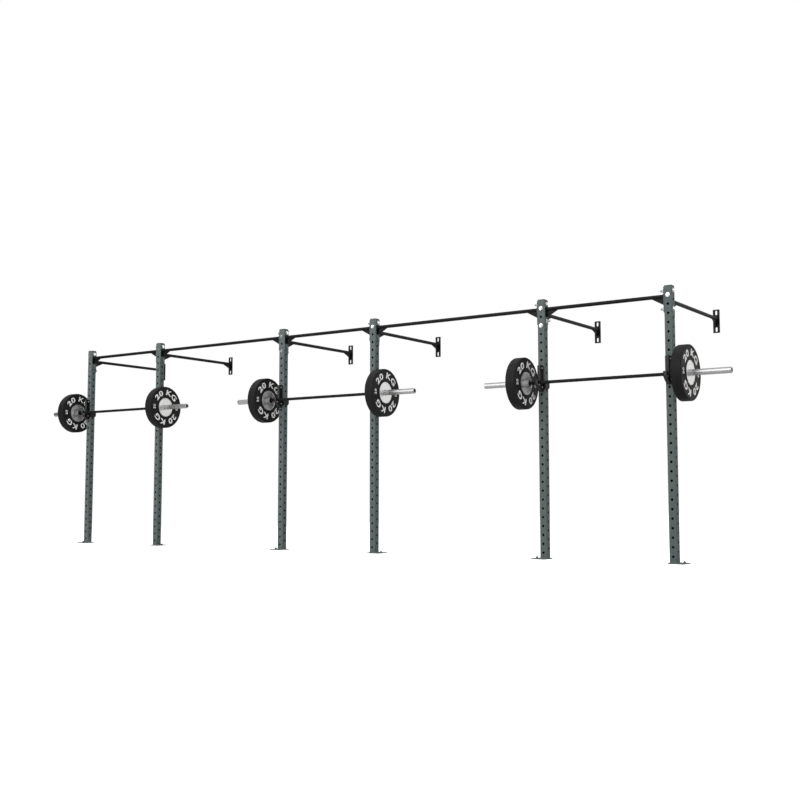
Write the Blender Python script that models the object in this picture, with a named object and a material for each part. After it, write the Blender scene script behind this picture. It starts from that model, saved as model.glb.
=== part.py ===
"""Wall-mounted training rig: six perforated uprights in one row, pull-up bars between them,
arms to the wall, and three loaded barbells racked in cups.

Metres, +Z up. The floor is at z = 0, +X runs along the row and +Y points at the wall. The origin is
on the floor under the middle of the whole rig, so the row of uprights stands a little in front of it.
"""
import bmesh
import bpy
from math import cos, pi, radians, sin, sqrt
from mathutils import Matrix, Vector

# Uprights: square tube with one row of holes in each face, on one pitch
TUBE_WIDTH = 0.065
HOLE_PITCH = 0.075
HOLES_PER_FACE = 29
HOLE_DIAMETER = 0.0215
LOWEST_FRONT_HOLE = 0.056
TOP_MARGIN = 0.035
CELL_SPACING = 1.148
LINK_SPACING = 1.807

# Foot welded under each upright, longer towards the outside of its cell
BASE_THICKNESS = 0.008
BASE_LENGTH = 0.134
BASE_DEPTH = 0.159
ANCHOR_HOLE = 0.014
ANCHOR_EDGE = 0.0215

# Push-in cap in the top of each tube
CAP_RIM = 0.0045
CAP_ROUNDING = 0.003

# Pull-up bars and wall arms: round tube, bolted end plates and a gusset under each end
BAR_DIAMETER = 0.032
END_PLATE_WIDTH = 0.060
END_PLATE_HEIGHT = 0.210
END_PLATE_THICKNESS = 0.006
END_BOLT_HOLE = 0.018
BAR_ABOVE_PLATE_CENTRE = 0.030
PAD_HEIGHT = 0.085
PAD_ABOVE_BAR = 0.0015
PAD_INSET = 0.001
PAD_THICKNESS = 0.006
BAR_GUSSET_LENGTH = 0.103
BAR_GUSSET_HEIGHT = 0.050
ARM_GUSSET_LENGTH = 0.114
ARM_GUSSET_HEIGHT = 0.040
GUSSET_HOLLOW = 0.006
GUSSET_THICKNESS = 0.008

# Wall plates at the far end of the arms, each with two upright slots
WALL_DISTANCE = 1.126
WALL_PLATE_THICKNESS = 0.008
WALL_PLATE_DROP = 0.023
SLOT_SPACING = 0.150
SLOT_WIDTH = 0.019
SLOT_LENGTH = 0.040

# Barbells
SHAFT_DIAMETER = 0.028
SLEEVE_LENGTH = 0.445
COLLAR_CLEARANCE = 0.0485
COLLAR_LENGTH = 0.062
COLLAR_DIAMETER = 0.068
SLEEVE_DIAMETER = 0.050
SLEEVE_CHAMFER = 0.003
SHAFT_END_RECESS = 0.004

# Bumper plates: a rubber ring round a dished steel hub
PLATE_DIAMETER = 0.450
PLATE_THICKNESS = 0.088
PLATE_EDGE = 0.008
HUB_DIAMETER = 0.200
HUB_DISH = 0.030
HUB_RIM_RECESS = 0.003
HUB_SEAT_DIAMETER = 0.080

# Racking cups: two steel side plates round a plastic core, a pin above and a saddle below
BARBELL_FRONT = 0.092
CUP_PIN_HOLE = 21
CUP_PIN_ABOVE_BAR = 0.1275
CUP_PIN_DIAMETER = 0.017
CUP_PIN_TAIL = 0.012
CUP_BLOCK_DEPTH = 0.014
CUP_BLOCK_HEIGHT = 0.042
CUP_TOP_ABOVE_BAR = 0.1525
CUP_TOP_CHAMFER = 0.006
CUP_CORE_WIDTH = 0.025
CUP_SIDE_THICKNESS = 0.005
CUP_STEEL_SETBACK = 0.002
CUP_LIP_ABOVE_BAR = 0.024
CUP_LIP_DEPTH = 0.0185
CUP_LIP_BELOW_BAR = 0.0105
CUP_FOOT_BELOW_BAR = 0.0775
CUP_BELLY_BULGE = 0.0105
SADDLE_ABOVE_BAR = 0.008
SADDLE_HEIGHT = 0.058
SADDLE_TAIL = 0.012
SADDLE_THICKNESS = 0.005
SADDLE_CHAMFER = 0.018

# Clearances, and how deep welded pieces reach into each other
SEAT_GAP = 0.0003
RUNNING_GAP = 0.0004
WELD_DEPTH = 0.001

# Facets round each kind of round piece. The many holes of the tubes get the fewest.
TUBE_HOLE_SIDES = 4
SMALL_SIDES = 6
ROD_SIDES = 12
PLATE_SIDES = 20

# Worked out from the sizes above
HALF_TUBE = TUBE_WIDTH / 2
SIDE_HOLE_RISE = HOLE_PITCH / 2
TUBE_TOP = LOWEST_FRONT_HOLE + SIDE_HOLE_RISE + (HOLES_PER_FACE - 1) * HOLE_PITCH + TOP_MARGIN
TOP_FRONT_HOLE = LOWEST_FRONT_HOLE + (HOLES_PER_FACE - 1) * HOLE_PITCH
BOLT_SPACING = 2 * HOLE_PITCH
ARM_HEIGHT = TOP_FRONT_HOLE - BOLT_SPACING / 2 + BAR_ABOVE_PLATE_CENTRE
BAR_HEIGHT = ARM_HEIGHT + SIDE_HOLE_RISE
BARBELL_HEIGHT = LOWEST_FRONT_HOLE + CUP_PIN_HOLE * HOLE_PITCH - CUP_PIN_ABOVE_BAR
ROW_Y = (BARBELL_FRONT + PLATE_DIAMETER / 2 - WALL_DISTANCE) / 2
CELL_CENTRES = [(cell - 1) * (CELL_SPACING + LINK_SPACING) for cell in range(3)]
UPRIGHT_X = [centre + side * CELL_SPACING / 2 for centre in CELL_CENTRES for side in (-1, 1)]
COLLAR_INNER_FACE = CELL_SPACING / 2 + HALF_TUBE + COLLAR_CLEARANCE
BARBELL_HALF = COLLAR_INNER_FACE + SLEEVE_LENGTH
PLATE_INNER_FACE = COLLAR_INNER_FACE + COLLAR_LENGTH + SEAT_GAP - HUB_DISH


def clear_scene():
    for thing in list(bpy.data.objects):
        bpy.data.objects.remove(thing, do_unlink=True)


def material(name, colour, roughness, metallic):
    """A Principled material of one plain colour."""
    made = bpy.data.materials.new(name)
    made.use_nodes = True
    made.diffuse_color = (*colour, 1.0)
    shader = made.node_tree.nodes["Principled BSDF"]
    shader.inputs["Base Color"].default_value = (*colour, 1.0)
    shader.inputs["Roughness"].default_value = roughness
    shader.inputs["Metallic"].default_value = metallic
    return made


def mesh_from(shape, name):
    bmesh.ops.recalc_face_normals(shape, faces=shape.faces)
    mesh = bpy.data.meshes.new(name)
    shape.to_mesh(mesh)
    shape.free()
    return mesh


def prism(outline, depth, name="prism"):
    """The closed outline, a list of points in one plane, drawn out along depth."""
    shape = bmesh.new()
    face = shape.faces.new([shape.verts.new(point) for point in outline])
    drawn = bmesh.ops.extrude_face_region(shape, geom=[face])["geom"]
    tips = [item for item in drawn if isinstance(item, bmesh.types.BMVert)]
    bmesh.ops.translate(shape, verts=tips, vec=depth)
    return mesh_from(shape, name)


def box(low, high, name="box"):
    """An axis-aligned box between two corners."""
    (x0, y0, z0), (x1, y1, z1) = low, high
    outline = [(x0, y0, z0), (x1, y0, z0), (x1, y1, z0), (x0, y1, z0)]
    return prism(outline, (0, 0, z1 - z0), name)


def circle(radius, sides, turn=0.0):
    """Corners of a regular polygon, as pairs."""
    angles = [turn + 2 * pi * k / sides for k in range(sides)]
    return [(radius * cos(angle), radius * sin(angle)) for angle in angles]


def rod(centre, depth, radius, sides=ROD_SIDES, turn=0.0, name="rod"):
    """A round bar from centre along depth, which runs along one axis."""
    way = Vector(depth).normalized()
    across = Vector((0, 0, 1)).cross(way) if abs(way.z) < 0.5 else Vector((1, 0, 0))
    up = way.cross(across)
    start = Vector(centre)
    outline = [start + across * a + up * b for a, b in circle(radius, sides, turn)]
    return prism(outline, depth, name)


def turned(profile, sides, name):
    """The closed profile of (x, radius) points turned about the X axis."""
    shape = bmesh.new()
    ring = [shape.verts.new((x, 0, radius)) for x, radius in profile]
    edges = [shape.edges.new((ring[k - 1], ring[k])) for k in range(len(ring))]
    bmesh.ops.spin(
        shape,
        geom=ring + edges,
        cent=(0, 0, 0),
        axis=(1, 0, 0),
        angle=2 * pi,
        steps=sides,
        use_merge=True,
    )
    return mesh_from(shape, name)


def fused(bodies, cutters, name):
    """One mesh: the bodies joined by Boolean unions, with the cutters taken away."""
    helpers = [bpy.data.objects.new("helper", mesh) for mesh in bodies + cutters]
    for helper in helpers:
        bpy.context.scene.collection.objects.link(helper)
    base = helpers[0]
    for number, helper in enumerate(helpers[1:], start=1):
        step = base.modifiers.new(f"step {number}", "BOOLEAN")
        step.object = helper
        step.operation = "UNION" if number < len(bodies) else "DIFFERENCE"
        step.solver = "EXACT"
    bpy.context.view_layer.update()
    ready = base.evaluated_get(bpy.context.evaluated_depsgraph_get())
    mesh = bpy.data.meshes.new_from_object(ready)
    mesh.name = name
    for helper in helpers:
        bpy.data.objects.remove(helper, do_unlink=True)
    return mesh


def place(name, mesh, look, location=(0, 0, 0), parent=None, mirrored=False):
    """A named object at its place, mirrored in X on request, with smooth round sides."""
    if mirrored:
        mesh = mesh.copy()
        mesh.transform(Matrix.Scale(-1, 4, Vector((1, 0, 0))))
        mesh.flip_normals()
    thing = bpy.data.objects.new(name, mesh)
    bpy.context.scene.collection.objects.link(thing)
    thing.parent = parent
    thing.location = location
    mesh.materials.clear()
    mesh.materials.append(look)
    mesh.shade_smooth()
    mesh.set_sharp_from_angle(angle=radians(32))
    return thing


def hole_cutters():
    """Rods through the tube: a front row, and a side row half a pitch higher.

    Each polygon has its flats upright and the area of the round hole it stands for.
    """
    step = 2 * pi / TUBE_HOLE_SIDES
    radius = HOLE_DIAMETER / 2 * sqrt(step / sin(step))
    cutters = bmesh.new()
    for number in range(HOLES_PER_FACE):
        height = LOWEST_FRONT_HOLE + number * HOLE_PITCH
        front = ((0, -TUBE_WIDTH, height), (0, 2 * TUBE_WIDTH, 0))
        side = ((-TUBE_WIDTH, 0, height + SIDE_HOLE_RISE), (2 * TUBE_WIDTH, 0, 0))
        for centre, depth in (front, side):
            cutter = rod(centre, depth, radius, TUBE_HOLE_SIDES, step / 2)
            cutters.from_mesh(cutter)
            bpy.data.meshes.remove(cutter)
    return mesh_from(cutters, "holes")


def upright_mesh():
    """Tube and foot in one weldment. The foot's long side points to -X."""
    tube = box((-HALF_TUBE, -HALF_TUBE, WELD_DEPTH), (HALF_TUBE, HALF_TUBE, TUBE_TOP))
    outer_end = HALF_TUBE - BASE_LENGTH
    base = box((outer_end, -BASE_DEPTH / 2, 0), (HALF_TUBE, BASE_DEPTH / 2, BASE_THICKNESS))
    anchor_x = outer_end + ANCHOR_EDGE
    anchor = rod((anchor_x, 0, -BASE_THICKNESS), (0, 0, 3 * BASE_THICKNESS), ANCHOR_HOLE / 2, SMALL_SIDES)
    return fused([base, tube], [hole_cutters(), anchor], "upright")


def cap_mesh():
    """Push-in cap: its rim covers the tube's end."""
    outline = [(a, b, TUBE_TOP + SEAT_GAP) for a, b in ((-1, -1), (1, -1), (1, 1), (-1, 1))]
    corners = [(a * HALF_TUBE, b * HALF_TUBE, z) for a, b, z in outline]
    shape = bmesh.new()
    shape.from_mesh(prism(corners, (0, 0, CAP_RIM)))
    top = [edge for edge in shape.edges if all(v.co.z > TUBE_TOP + CAP_RIM / 2 for v in edge.verts)]
    bmesh.ops.bevel(shape, geom=top, offset=CAP_ROUNDING, segments=1, affect="EDGES")
    return mesh_from(shape, "end cap")


def end_plate(thickness, drop):
    """Plate standing on the plane x = 0 and reaching to +X, its middle a drop below the origin."""
    half_width, half_height = END_PLATE_WIDTH / 2, END_PLATE_HEIGHT / 2
    return box((0, -half_width, -drop - half_height), (thickness, half_width, half_height - drop))


def bolt_holes():
    """Rods that cut the two bolt holes of an end plate."""
    reach = END_PLATE_THICKNESS
    heights = [side * BOLT_SPACING / 2 - BAR_ABOVE_PLATE_CENTRE for side in (-1, 1)]
    return [rod((-reach, 0, z), (3 * reach, 0, 0), END_BOLT_HOLE / 2, SMALL_SIDES) for z in heights]


def wall_slots():
    """Cutters for the two upright slots of a wall plate."""
    radius = SLOT_WIDTH / 2
    straight = SLOT_LENGTH / 2 - radius
    arc = [pi * k / 3 for k in range(4)]
    upper = [(radius * cos(a), straight + radius * sin(a)) for a in arc]
    outline = upper + [(-y, -z) for y, z in upper]
    heights = [side * SLOT_SPACING / 2 - WALL_PLATE_DROP for side in (-1, 1)]
    reach = WALL_PLATE_THICKNESS
    return [prism([(-reach, y, z + height) for y, z in outline], (3 * reach, 0, 0)) for height in heights]


def bulged(start, end, bulge, steps):
    """Points between two corners of a side view, on a shallow curve that swells to the right of the way."""
    way = Vector(end) - Vector(start)
    out = Vector((way.y, -way.x)).normalized() * bulge
    shares = [step / steps for step in range(1, steps)]
    return [tuple(Vector(start) + way * t + out * 4 * t * (1 - t)) for t in shares]


def gusset(start, length, height):
    """Web under the bar with a slightly hollow free edge, against the plate whose face is at x = start."""
    sunk = -BAR_DIAMETER / 4
    half = GUSSET_THICKNESS / 2
    root = start - WELD_DEPTH
    tip = (start + length, WELD_DEPTH - BAR_DIAMETER / 2)
    foot = (start, -BAR_DIAMETER / 2 - height)
    edge = bulged(tip, foot, GUSSET_HOLLOW, 3)
    side = [(root, sunk), (start + length, sunk), tip, *edge, foot, (root, foot[1])]
    return prism([(x, -half, z) for x, z in side], (0, GUSSET_THICKNESS, 0))


def turned_about(mesh, angle, axis, then=(0, 0, 0)):
    """The mesh turned about an axis through the origin, then moved."""
    mesh.transform(Matrix.Translation(Vector(then)) @ Matrix.Rotation(angle, 4, axis))
    return mesh


def pull_up_bar_mesh(spacing):
    """A bar between two uprights, centred on x = 0, with its axis on z = 0."""
    half = spacing / 2 - HALF_TUBE - SEAT_GAP
    root = END_PLATE_THICKNESS / 2
    pad_half = END_PLATE_WIDTH / 2 - PAD_INSET
    pad_top = BAR_DIAMETER / 2 + PAD_ABOVE_BAR
    pad_face = END_PLATE_THICKNESS + PAD_THICKNESS
    bodies = [rod((root - half, 0, 0), (2 * (half - root), 0, 0), BAR_DIAMETER / 2)]
    cutters = []
    for angle, seat in ((0, -half), (pi, half)):
        end = [
            end_plate(END_PLATE_THICKNESS, BAR_ABOVE_PLATE_CENTRE),
            box((root, -pad_half, pad_top - PAD_HEIGHT), (pad_face, pad_half, pad_top)),
            gusset(pad_face, BAR_GUSSET_LENGTH, BAR_GUSSET_HEIGHT),
        ]
        bodies += [turned_about(solid, angle, "Z", (seat, 0, 0)) for solid in end]
        cutters += [turned_about(hole, angle, "Z", (seat, 0, 0)) for hole in bolt_holes()]
    return fused(bodies, cutters, "pull-up bar")


def wall_arm_mesh():
    """An arm from the back of an upright at y = 0 to the wall, with its axis on z = 0."""
    near = HALF_TUBE + SEAT_GAP
    start = near + END_PLATE_THICKNESS / 2
    end = WALL_DISTANCE - WALL_PLATE_THICKNESS / 2
    bodies = [rod((0, start, 0), (0, end - start, 0), BAR_DIAMETER / 2)]
    cutters = []
    ends = (
        (END_PLATE_THICKNESS, BAR_ABOVE_PLATE_CENTRE, bolt_holes(), pi / 2, near),
        (WALL_PLATE_THICKNESS, WALL_PLATE_DROP, wall_slots(), -pi / 2, WALL_DISTANCE),
    )
    for thickness, drop, holes, angle, seat in ends:
        solids = [end_plate(thickness, drop), gusset(thickness, ARM_GUSSET_LENGTH, ARM_GUSSET_HEIGHT)]
        bodies += [turned_about(solid, angle, "Z", (0, seat, 0)) for solid in solids]
        cutters += [turned_about(hole, angle, "Z", (0, seat, 0)) for hole in holes]
    return fused(bodies, cutters, "wall arm")


def cup_outline(setback):
    """Side view of a cup as (y, z), with the bar's axis at the origin and the upright at +Y.

    The setback draws the working edges back, so that the bar meets the core and not the steel.
    """
    back = BARBELL_FRONT - HALF_TUBE - SEAT_GAP
    seat = SHAFT_DIAMETER / 2 + SEAT_GAP + setback
    lip_front = -SHAFT_DIAMETER / 2 - SEAT_GAP - CUP_LIP_DEPTH
    lip_top = CUP_LIP_ABOVE_BAR - setback
    bends = [-2 * pi * k / ROD_SIDES for k in range(ROD_SIDES // 2 + 1)]
    heel = (back, -CUP_FOOT_BELOW_BAR)
    toe = (lip_front, -CUP_LIP_BELOW_BAR)
    belly = bulged(heel, toe, -CUP_BELLY_BULGE, 4)
    return [
        (back, CUP_TOP_ABOVE_BAR),
        (seat + CUP_TOP_CHAMFER, CUP_TOP_ABOVE_BAR),
        (seat, CUP_TOP_ABOVE_BAR - CUP_TOP_CHAMFER),
        *[(seat * cos(bend), seat * sin(bend)) for bend in bends],
        (-seat, lip_top),
        (lip_front, lip_top),
        toe,
        *reversed(belly),
        heel,
    ]


def across(outline, low, high):
    """A plate with the (y, z) outline, from x = low to x = high."""
    return prism([(low, y, z) for y, z in outline], (high - low, 0, 0))


def saddle(front, back):
    """Sheet steel channel round the upright's front, as its solid and the two cutters that shape it."""
    inner = HALF_TUBE + SEAT_GAP
    outer = inner + SADDLE_THICKNESS
    top = SADDLE_ABOVE_BAR
    bottom = top - SADDLE_HEIGHT
    solid = box((-outer, front - SADDLE_THICKNESS, bottom), (outer, back, top))
    spare = SADDLE_THICKNESS
    channel = box((-inner, front, bottom - spare), (inner, back + spare, top + spare))
    cut = SADDLE_CHAMFER + spare
    corner = [(back + spare, bottom - spare), (back + spare, bottom + cut), (back - cut, bottom - spare)]
    return solid, [channel, across(corner, -outer - spare, outer + spare)]


def cup_meshes():
    """Steel frame and plastic core of a cup, with the bar's axis on the X axis through the origin."""
    back = BARBELL_FRONT - HALF_TUBE - SEAT_GAP
    half_core = CUP_CORE_WIDTH / 2
    inner = half_core + SEAT_GAP
    outer = inner + CUP_SIDE_THICKNESS
    sides = [across(cup_outline(CUP_STEEL_SETBACK), x, x + CUP_SIDE_THICKNESS) for x in (-outer, inner)]

    block_front = back - CUP_BLOCK_DEPTH
    block_low = CUP_PIN_ABOVE_BAR - CUP_BLOCK_HEIGHT / 2
    block_high = CUP_PIN_ABOVE_BAR + CUP_BLOCK_HEIGHT / 2
    block = box((-inner - WELD_DEPTH, block_front, block_low), (inner + WELD_DEPTH, back, block_high))
    tail = BARBELL_FRONT + HALF_TUBE + CUP_PIN_TAIL
    root = back - CUP_BLOCK_DEPTH / 2
    pin = rod((0, root, CUP_PIN_ABOVE_BAR), (0, tail - root, 0), CUP_PIN_DIAMETER / 2, SMALL_SIDES)
    channel, cutters = saddle(back, BARBELL_FRONT + HALF_TUBE + SADDLE_TAIL)
    frame = fused([sides[0], channel, sides[1], block, pin], cutters, "cup frame")

    gap = SEAT_GAP
    beyond = back + SADDLE_THICKNESS
    web_front = back - SADDLE_THICKNESS - gap
    web_top = SADDLE_ABOVE_BAR + gap
    web_room = box((-inner, web_front, web_top - SADDLE_HEIGHT - 2 * gap), (inner, beyond, web_top))
    block_room = box((-inner, block_front - gap, block_low - gap), (inner, beyond, block_high + gap))
    core = across(cup_outline(0), -half_core, half_core)
    return frame, fused([core], [web_room, block_room], "cup core")


def shaft_mesh():
    half = BARBELL_HALF - SHAFT_END_RECESS
    return rod((-half, 0, 0), (2 * half, 0, 0), SHAFT_DIAMETER / 2, name="shaft")


def sleeve_mesh():
    """A sleeve with its collar, turned about the shaft's axis, on the +X side."""
    bore = (SHAFT_DIAMETER / 2 + RUNNING_GAP) / cos(pi / ROD_SIDES)
    collar = COLLAR_DIAMETER / 2
    radius = SLEEVE_DIAMETER / 2
    end = BARBELL_HALF
    shoulder = COLLAR_INNER_FACE + COLLAR_LENGTH
    profile = [
        (COLLAR_INNER_FACE, bore),
        (COLLAR_INNER_FACE, collar),
        (shoulder, collar),
        (shoulder, radius),
        (end - SLEEVE_CHAMFER, radius),
        (end, radius - SLEEVE_CHAMFER),
        (end, bore),
    ]
    return turned(profile, ROD_SIDES, "sleeve")


def bumper_meshes():
    """Rubber ring and dished steel hub of one plate, seated against the +X sleeve's collar."""
    start = PLATE_INNER_FACE
    end = start + PLATE_THICKNESS
    radius = PLATE_DIAMETER / 2
    hub = HUB_DIAMETER / 2
    bore = (SLEEVE_DIAMETER / 2 + RUNNING_GAP) / cos(pi / PLATE_SIDES)
    seat = start + HUB_DISH
    ring = [
        (start, hub + SEAT_GAP),
        (start, radius - PLATE_EDGE),
        (start + PLATE_EDGE, radius),
        (end - PLATE_EDGE, radius),
        (end, radius - PLATE_EDGE),
        (end, hub + SEAT_GAP),
    ]
    disc = [
        (seat, bore),
        (seat, HUB_SEAT_DIAMETER / 2),
        (start + HUB_RIM_RECESS, hub),
        (end - HUB_RIM_RECESS, hub),
        (end - HUB_RIM_RECESS, bore),
    ]
    return turned(ring, PLATE_SIDES, "rubber ring"), turned(disc, PLATE_SIDES, "hub")


def build_uprights():
    grey = material("upright grey paint", (0.105, 0.118, 0.118), 0.45, 0.0)
    black = material("cap plastic", (0.012, 0.012, 0.013), 0.5, 0.0)
    upright, cap = upright_mesh(), cap_mesh()
    for number, x in enumerate(UPRIGHT_X, start=1):
        towards_plus_x = number % 2 == 0
        place(f"upright_{number}", upright, grey, (x, ROW_Y, 0), mirrored=towards_plus_x)
        place(f"end_cap_{number}", cap, black, (x, ROW_Y, 0))


def build_bars_and_arms():
    black = material("pull-up bar paint", (0.018, 0.018, 0.019), 0.42, 0.0)
    satin = material("wall arm paint", (0.018, 0.018, 0.019), 0.42, 0.0)
    short, long = pull_up_bar_mesh(CELL_SPACING), pull_up_bar_mesh(LINK_SPACING)
    for number, (left, right) in enumerate(zip(UPRIGHT_X, UPRIGHT_X[1:]), start=1):
        mesh = short if number % 2 else long
        place(f"pull_up_bar_{number}", mesh, black, ((left + right) / 2, ROW_Y, BAR_HEIGHT))
    arm = wall_arm_mesh()
    for number, x in enumerate(UPRIGHT_X, start=1):
        place(f"wall_arm_{number}", arm, satin, (x, ROW_Y, ARM_HEIGHT))


def build_cups():
    steel = material("cup steel paint", (0.02, 0.02, 0.021), 0.45, 0.0)
    plastic = material("cup core plastic", (0.03, 0.03, 0.031), 0.6, 0.0)
    frame, core = cup_meshes()
    for number, x in enumerate(UPRIGHT_X, start=1):
        spot = (x, ROW_Y - BARBELL_FRONT, BARBELL_HEIGHT)
        place(f"cup_frame_{number}", frame, steel, spot)
        place(f"cup_core_{number}", core, plastic, spot)


def build_barbells():
    oxide = material("shaft black oxide", (0.02, 0.02, 0.022), 0.35, 0.8)
    chrome = material("sleeve chrome", (0.72, 0.72, 0.72), 0.18, 1.0)
    rubber = material("bumper rubber", (0.014, 0.014, 0.015), 0.6, 0.0)
    steel = material("hub steel", (0.62, 0.62, 0.62), 0.35, 1.0)
    shaft, sleeve = shaft_mesh(), sleeve_mesh()
    ring, hub = bumper_meshes()
    for number, x in enumerate(CELL_CENTRES, start=1):
        axis = bpy.data.objects.new(f"barbell_{number}_axis", None)
        bpy.context.scene.collection.objects.link(axis)
        axis.location = (x, ROW_Y - BARBELL_FRONT, BARBELL_HEIGHT)
        place(f"barbell_shaft_{number}", shaft, oxide, parent=axis)
        for side, mirrored in (("left", True), ("right", False)):
            name = f"{number}_{side}"
            place(f"sleeve_{name}", sleeve, chrome, parent=axis, mirrored=mirrored)
            place(f"bumper_rubber_{name}", ring, rubber, parent=axis, mirrored=mirrored)
            place(f"bumper_hub_{name}", hub, steel, parent=axis, mirrored=mirrored)


clear_scene()
build_uprights()
build_bars_and_arms()
build_cups()
build_barbells()
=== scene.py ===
# %% [markdown]
# # A wall-mounted training rig
#
# Six perforated steel uprights stand in one row. Pull-up bars tie them to each other and arms tie
# them to the wall. Three of the cells carry a barbell, racked in cups, with a bumper plate at
# each end.
#
# The sizes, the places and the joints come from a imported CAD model, which is loaded first as a
# fixed frame. This script dresses that frame: it builds a finer piece for each CAD node, and a
# procedural finish for each piece. Everything is in metres, with +X along the row, +Y towards the
# wall and +Z up.

# %% Load the frame
from math import cos, pi, radians, sin, sqrt

import bmesh
import bpy
from mathutils import Matrix, Vector


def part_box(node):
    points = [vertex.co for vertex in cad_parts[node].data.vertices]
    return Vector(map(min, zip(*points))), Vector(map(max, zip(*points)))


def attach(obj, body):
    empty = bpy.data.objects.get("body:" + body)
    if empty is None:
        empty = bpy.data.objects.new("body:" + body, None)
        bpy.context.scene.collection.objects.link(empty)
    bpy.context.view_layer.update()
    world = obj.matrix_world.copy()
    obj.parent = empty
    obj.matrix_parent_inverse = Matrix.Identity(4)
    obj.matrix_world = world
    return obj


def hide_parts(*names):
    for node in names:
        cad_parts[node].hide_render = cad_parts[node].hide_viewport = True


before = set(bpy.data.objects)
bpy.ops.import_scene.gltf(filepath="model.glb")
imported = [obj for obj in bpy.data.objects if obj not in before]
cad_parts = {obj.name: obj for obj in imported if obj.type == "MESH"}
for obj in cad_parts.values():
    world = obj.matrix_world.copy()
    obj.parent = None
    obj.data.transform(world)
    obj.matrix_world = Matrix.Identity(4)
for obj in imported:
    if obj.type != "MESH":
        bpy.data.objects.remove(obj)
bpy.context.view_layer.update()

# %% [markdown]
# ## Where things stand
#
# Every place in the scene could be typed in again by hand, and would then go wrong as soon as the
# CAD model changes. The push-in caps sit exactly on the tubes, so their boxes give the middle of
# each upright, the width of the tube and its height. The rest follows from the nodes in the same
# way: the barbell's shaft gives the height of the racked bar. The flange of a pull-up bar reaches
# 75 mm over the bar's axis and the wall plate of an arm 82 mm, so the tops of their boxes give the
# heights of both. Pieces that meet stand 0.3 mm apart in the CAD model, so that no two faces share
# one place.

# %% Read the main places from the CAD nodes
COUNT = 6
FIT_GAP = 0.0003
FLANGE_RISE = 0.075
WALL_PLATE_RISE = 0.082


def middle(node):
    low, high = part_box(node)
    return (low + high) / 2


cap_low, cap_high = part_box("end_cap_1")
TUBE = cap_high.x - cap_low.x
HALF = TUBE / 2
TUBE_TOP = round(cap_low.z - FIT_GAP, 5)
ROW_Y = middle("end_cap_1").y
UPRIGHT_X = [middle(f"end_cap_{number}").x for number in range(1, COUNT + 1)]
BAR_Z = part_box("pull_up_bar_1")[1].z - FLANGE_RISE
ARM_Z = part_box("wall_arm_1")[1].z - WALL_PLATE_RISE
RACK_Y, RACK_Z = middle("barbell_shaft_1").y, middle("barbell_shaft_1").z
CELL_X = [middle(f"barbell_shaft_{number}").x for number in (1, 2, 3)]
print("tube", round(TUBE, 4), "top", TUBE_TOP, "row y", round(ROW_Y, 4), "bar z", round(BAR_Z, 4))
print("arm z", round(ARM_Z, 4), "racked bar y z", round(RACK_Y, 4), round(RACK_Z, 4))

# %% [markdown]
# ## Camera
#
# The photograph was taken from low down at the right-hand end of the row, with a long-ish lens. Its
# place was found beforehand, by fitting the rows of holes in all six uprights, so that the render
# and the photograph can be laid over each other. There is no lens shift and no depth of field.

# %% Set the camera
lens = bpy.data.cameras.new("photo camera")
lens.lens = 49.88
lens.sensor_width = 36.0
lens.clip_end = 400.0
camera = bpy.data.objects.new("photo camera", lens)
camera.location = (6.8146, -8.9204, 0.5242)
camera.rotation_euler = (radians(95.02), 0.0, radians(34.91))
bpy.context.scene.collection.objects.link(camera)
bpy.context.scene.camera = camera
print("camera at", tuple(round(c, 3) for c in camera.location))

# %% [markdown]
# ## Studio
#
# Product pictures like this one are lit so that floor and background burn out to plain white. The
# floor is a pale sheet that runs past the horizon, with a glow that only the camera sees. The sky is
# white where the camera looks straight at it, and dimmer, with a brighter top, where it lights the
# steel. Black rubber would look grey and chrome would burn out under an all-white sky. Low down at
# the left end, sky and floor fade to dark, as if a black card stood there. The sleeves at the far end
# mirror it, and look darker than the near ones, as in the photograph. Each fade is named by where it
# starts and where it is full: in the sky these are directions, from -1 to 1, on the floor metres.

# %% Make the floor and the sky
WHITE = (1.0, 1.0, 1.0, 1.0)
LOW_SKY, HIGH_SKY = -0.2, 0.8
LEFT_FROM, LEFT_FULL = -0.25, -0.70
CARD_FROM, CARD_TOP = 0.30, 0.65
DARK_FLOOR_FROM, DARK_FLOOR_FULL = -4.5, -9.0
FLOOR_SUNK = 0.0005


def shader_tree(owner):
    """The node tree of a material or a world, with nothing in it yet."""
    owner.use_nodes = True
    owner.node_tree.nodes.clear()
    return owner.node_tree


def add(tree, kind, label="", **values):
    """A node of one kind. Values are put on its sockets by name, or on its settings."""
    node = tree.nodes.new(kind)
    node.label = label
    for name, value in values.items():
        if hasattr(node, name):
            setattr(node, name, value)
        else:
            node.inputs[name.replace("_", " ")].default_value = value
    return node


def wire(tree, *pairs):
    """Links, each given as (node, its output, node, its input)."""
    for source, output, target, socket in pairs:
        tree.links.new(source.outputs[output], target.inputs[socket])


def fade(tree, label, start, end, low=0.0, high=1.0):
    """A soft step from low, at the start value, to high, at the end value."""
    return add(tree, "ShaderNodeMapRange", label, interpolation_type="SMOOTHSTEP",
               From_Min=start, From_Max=end, To_Min=low, To_Max=high)


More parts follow.
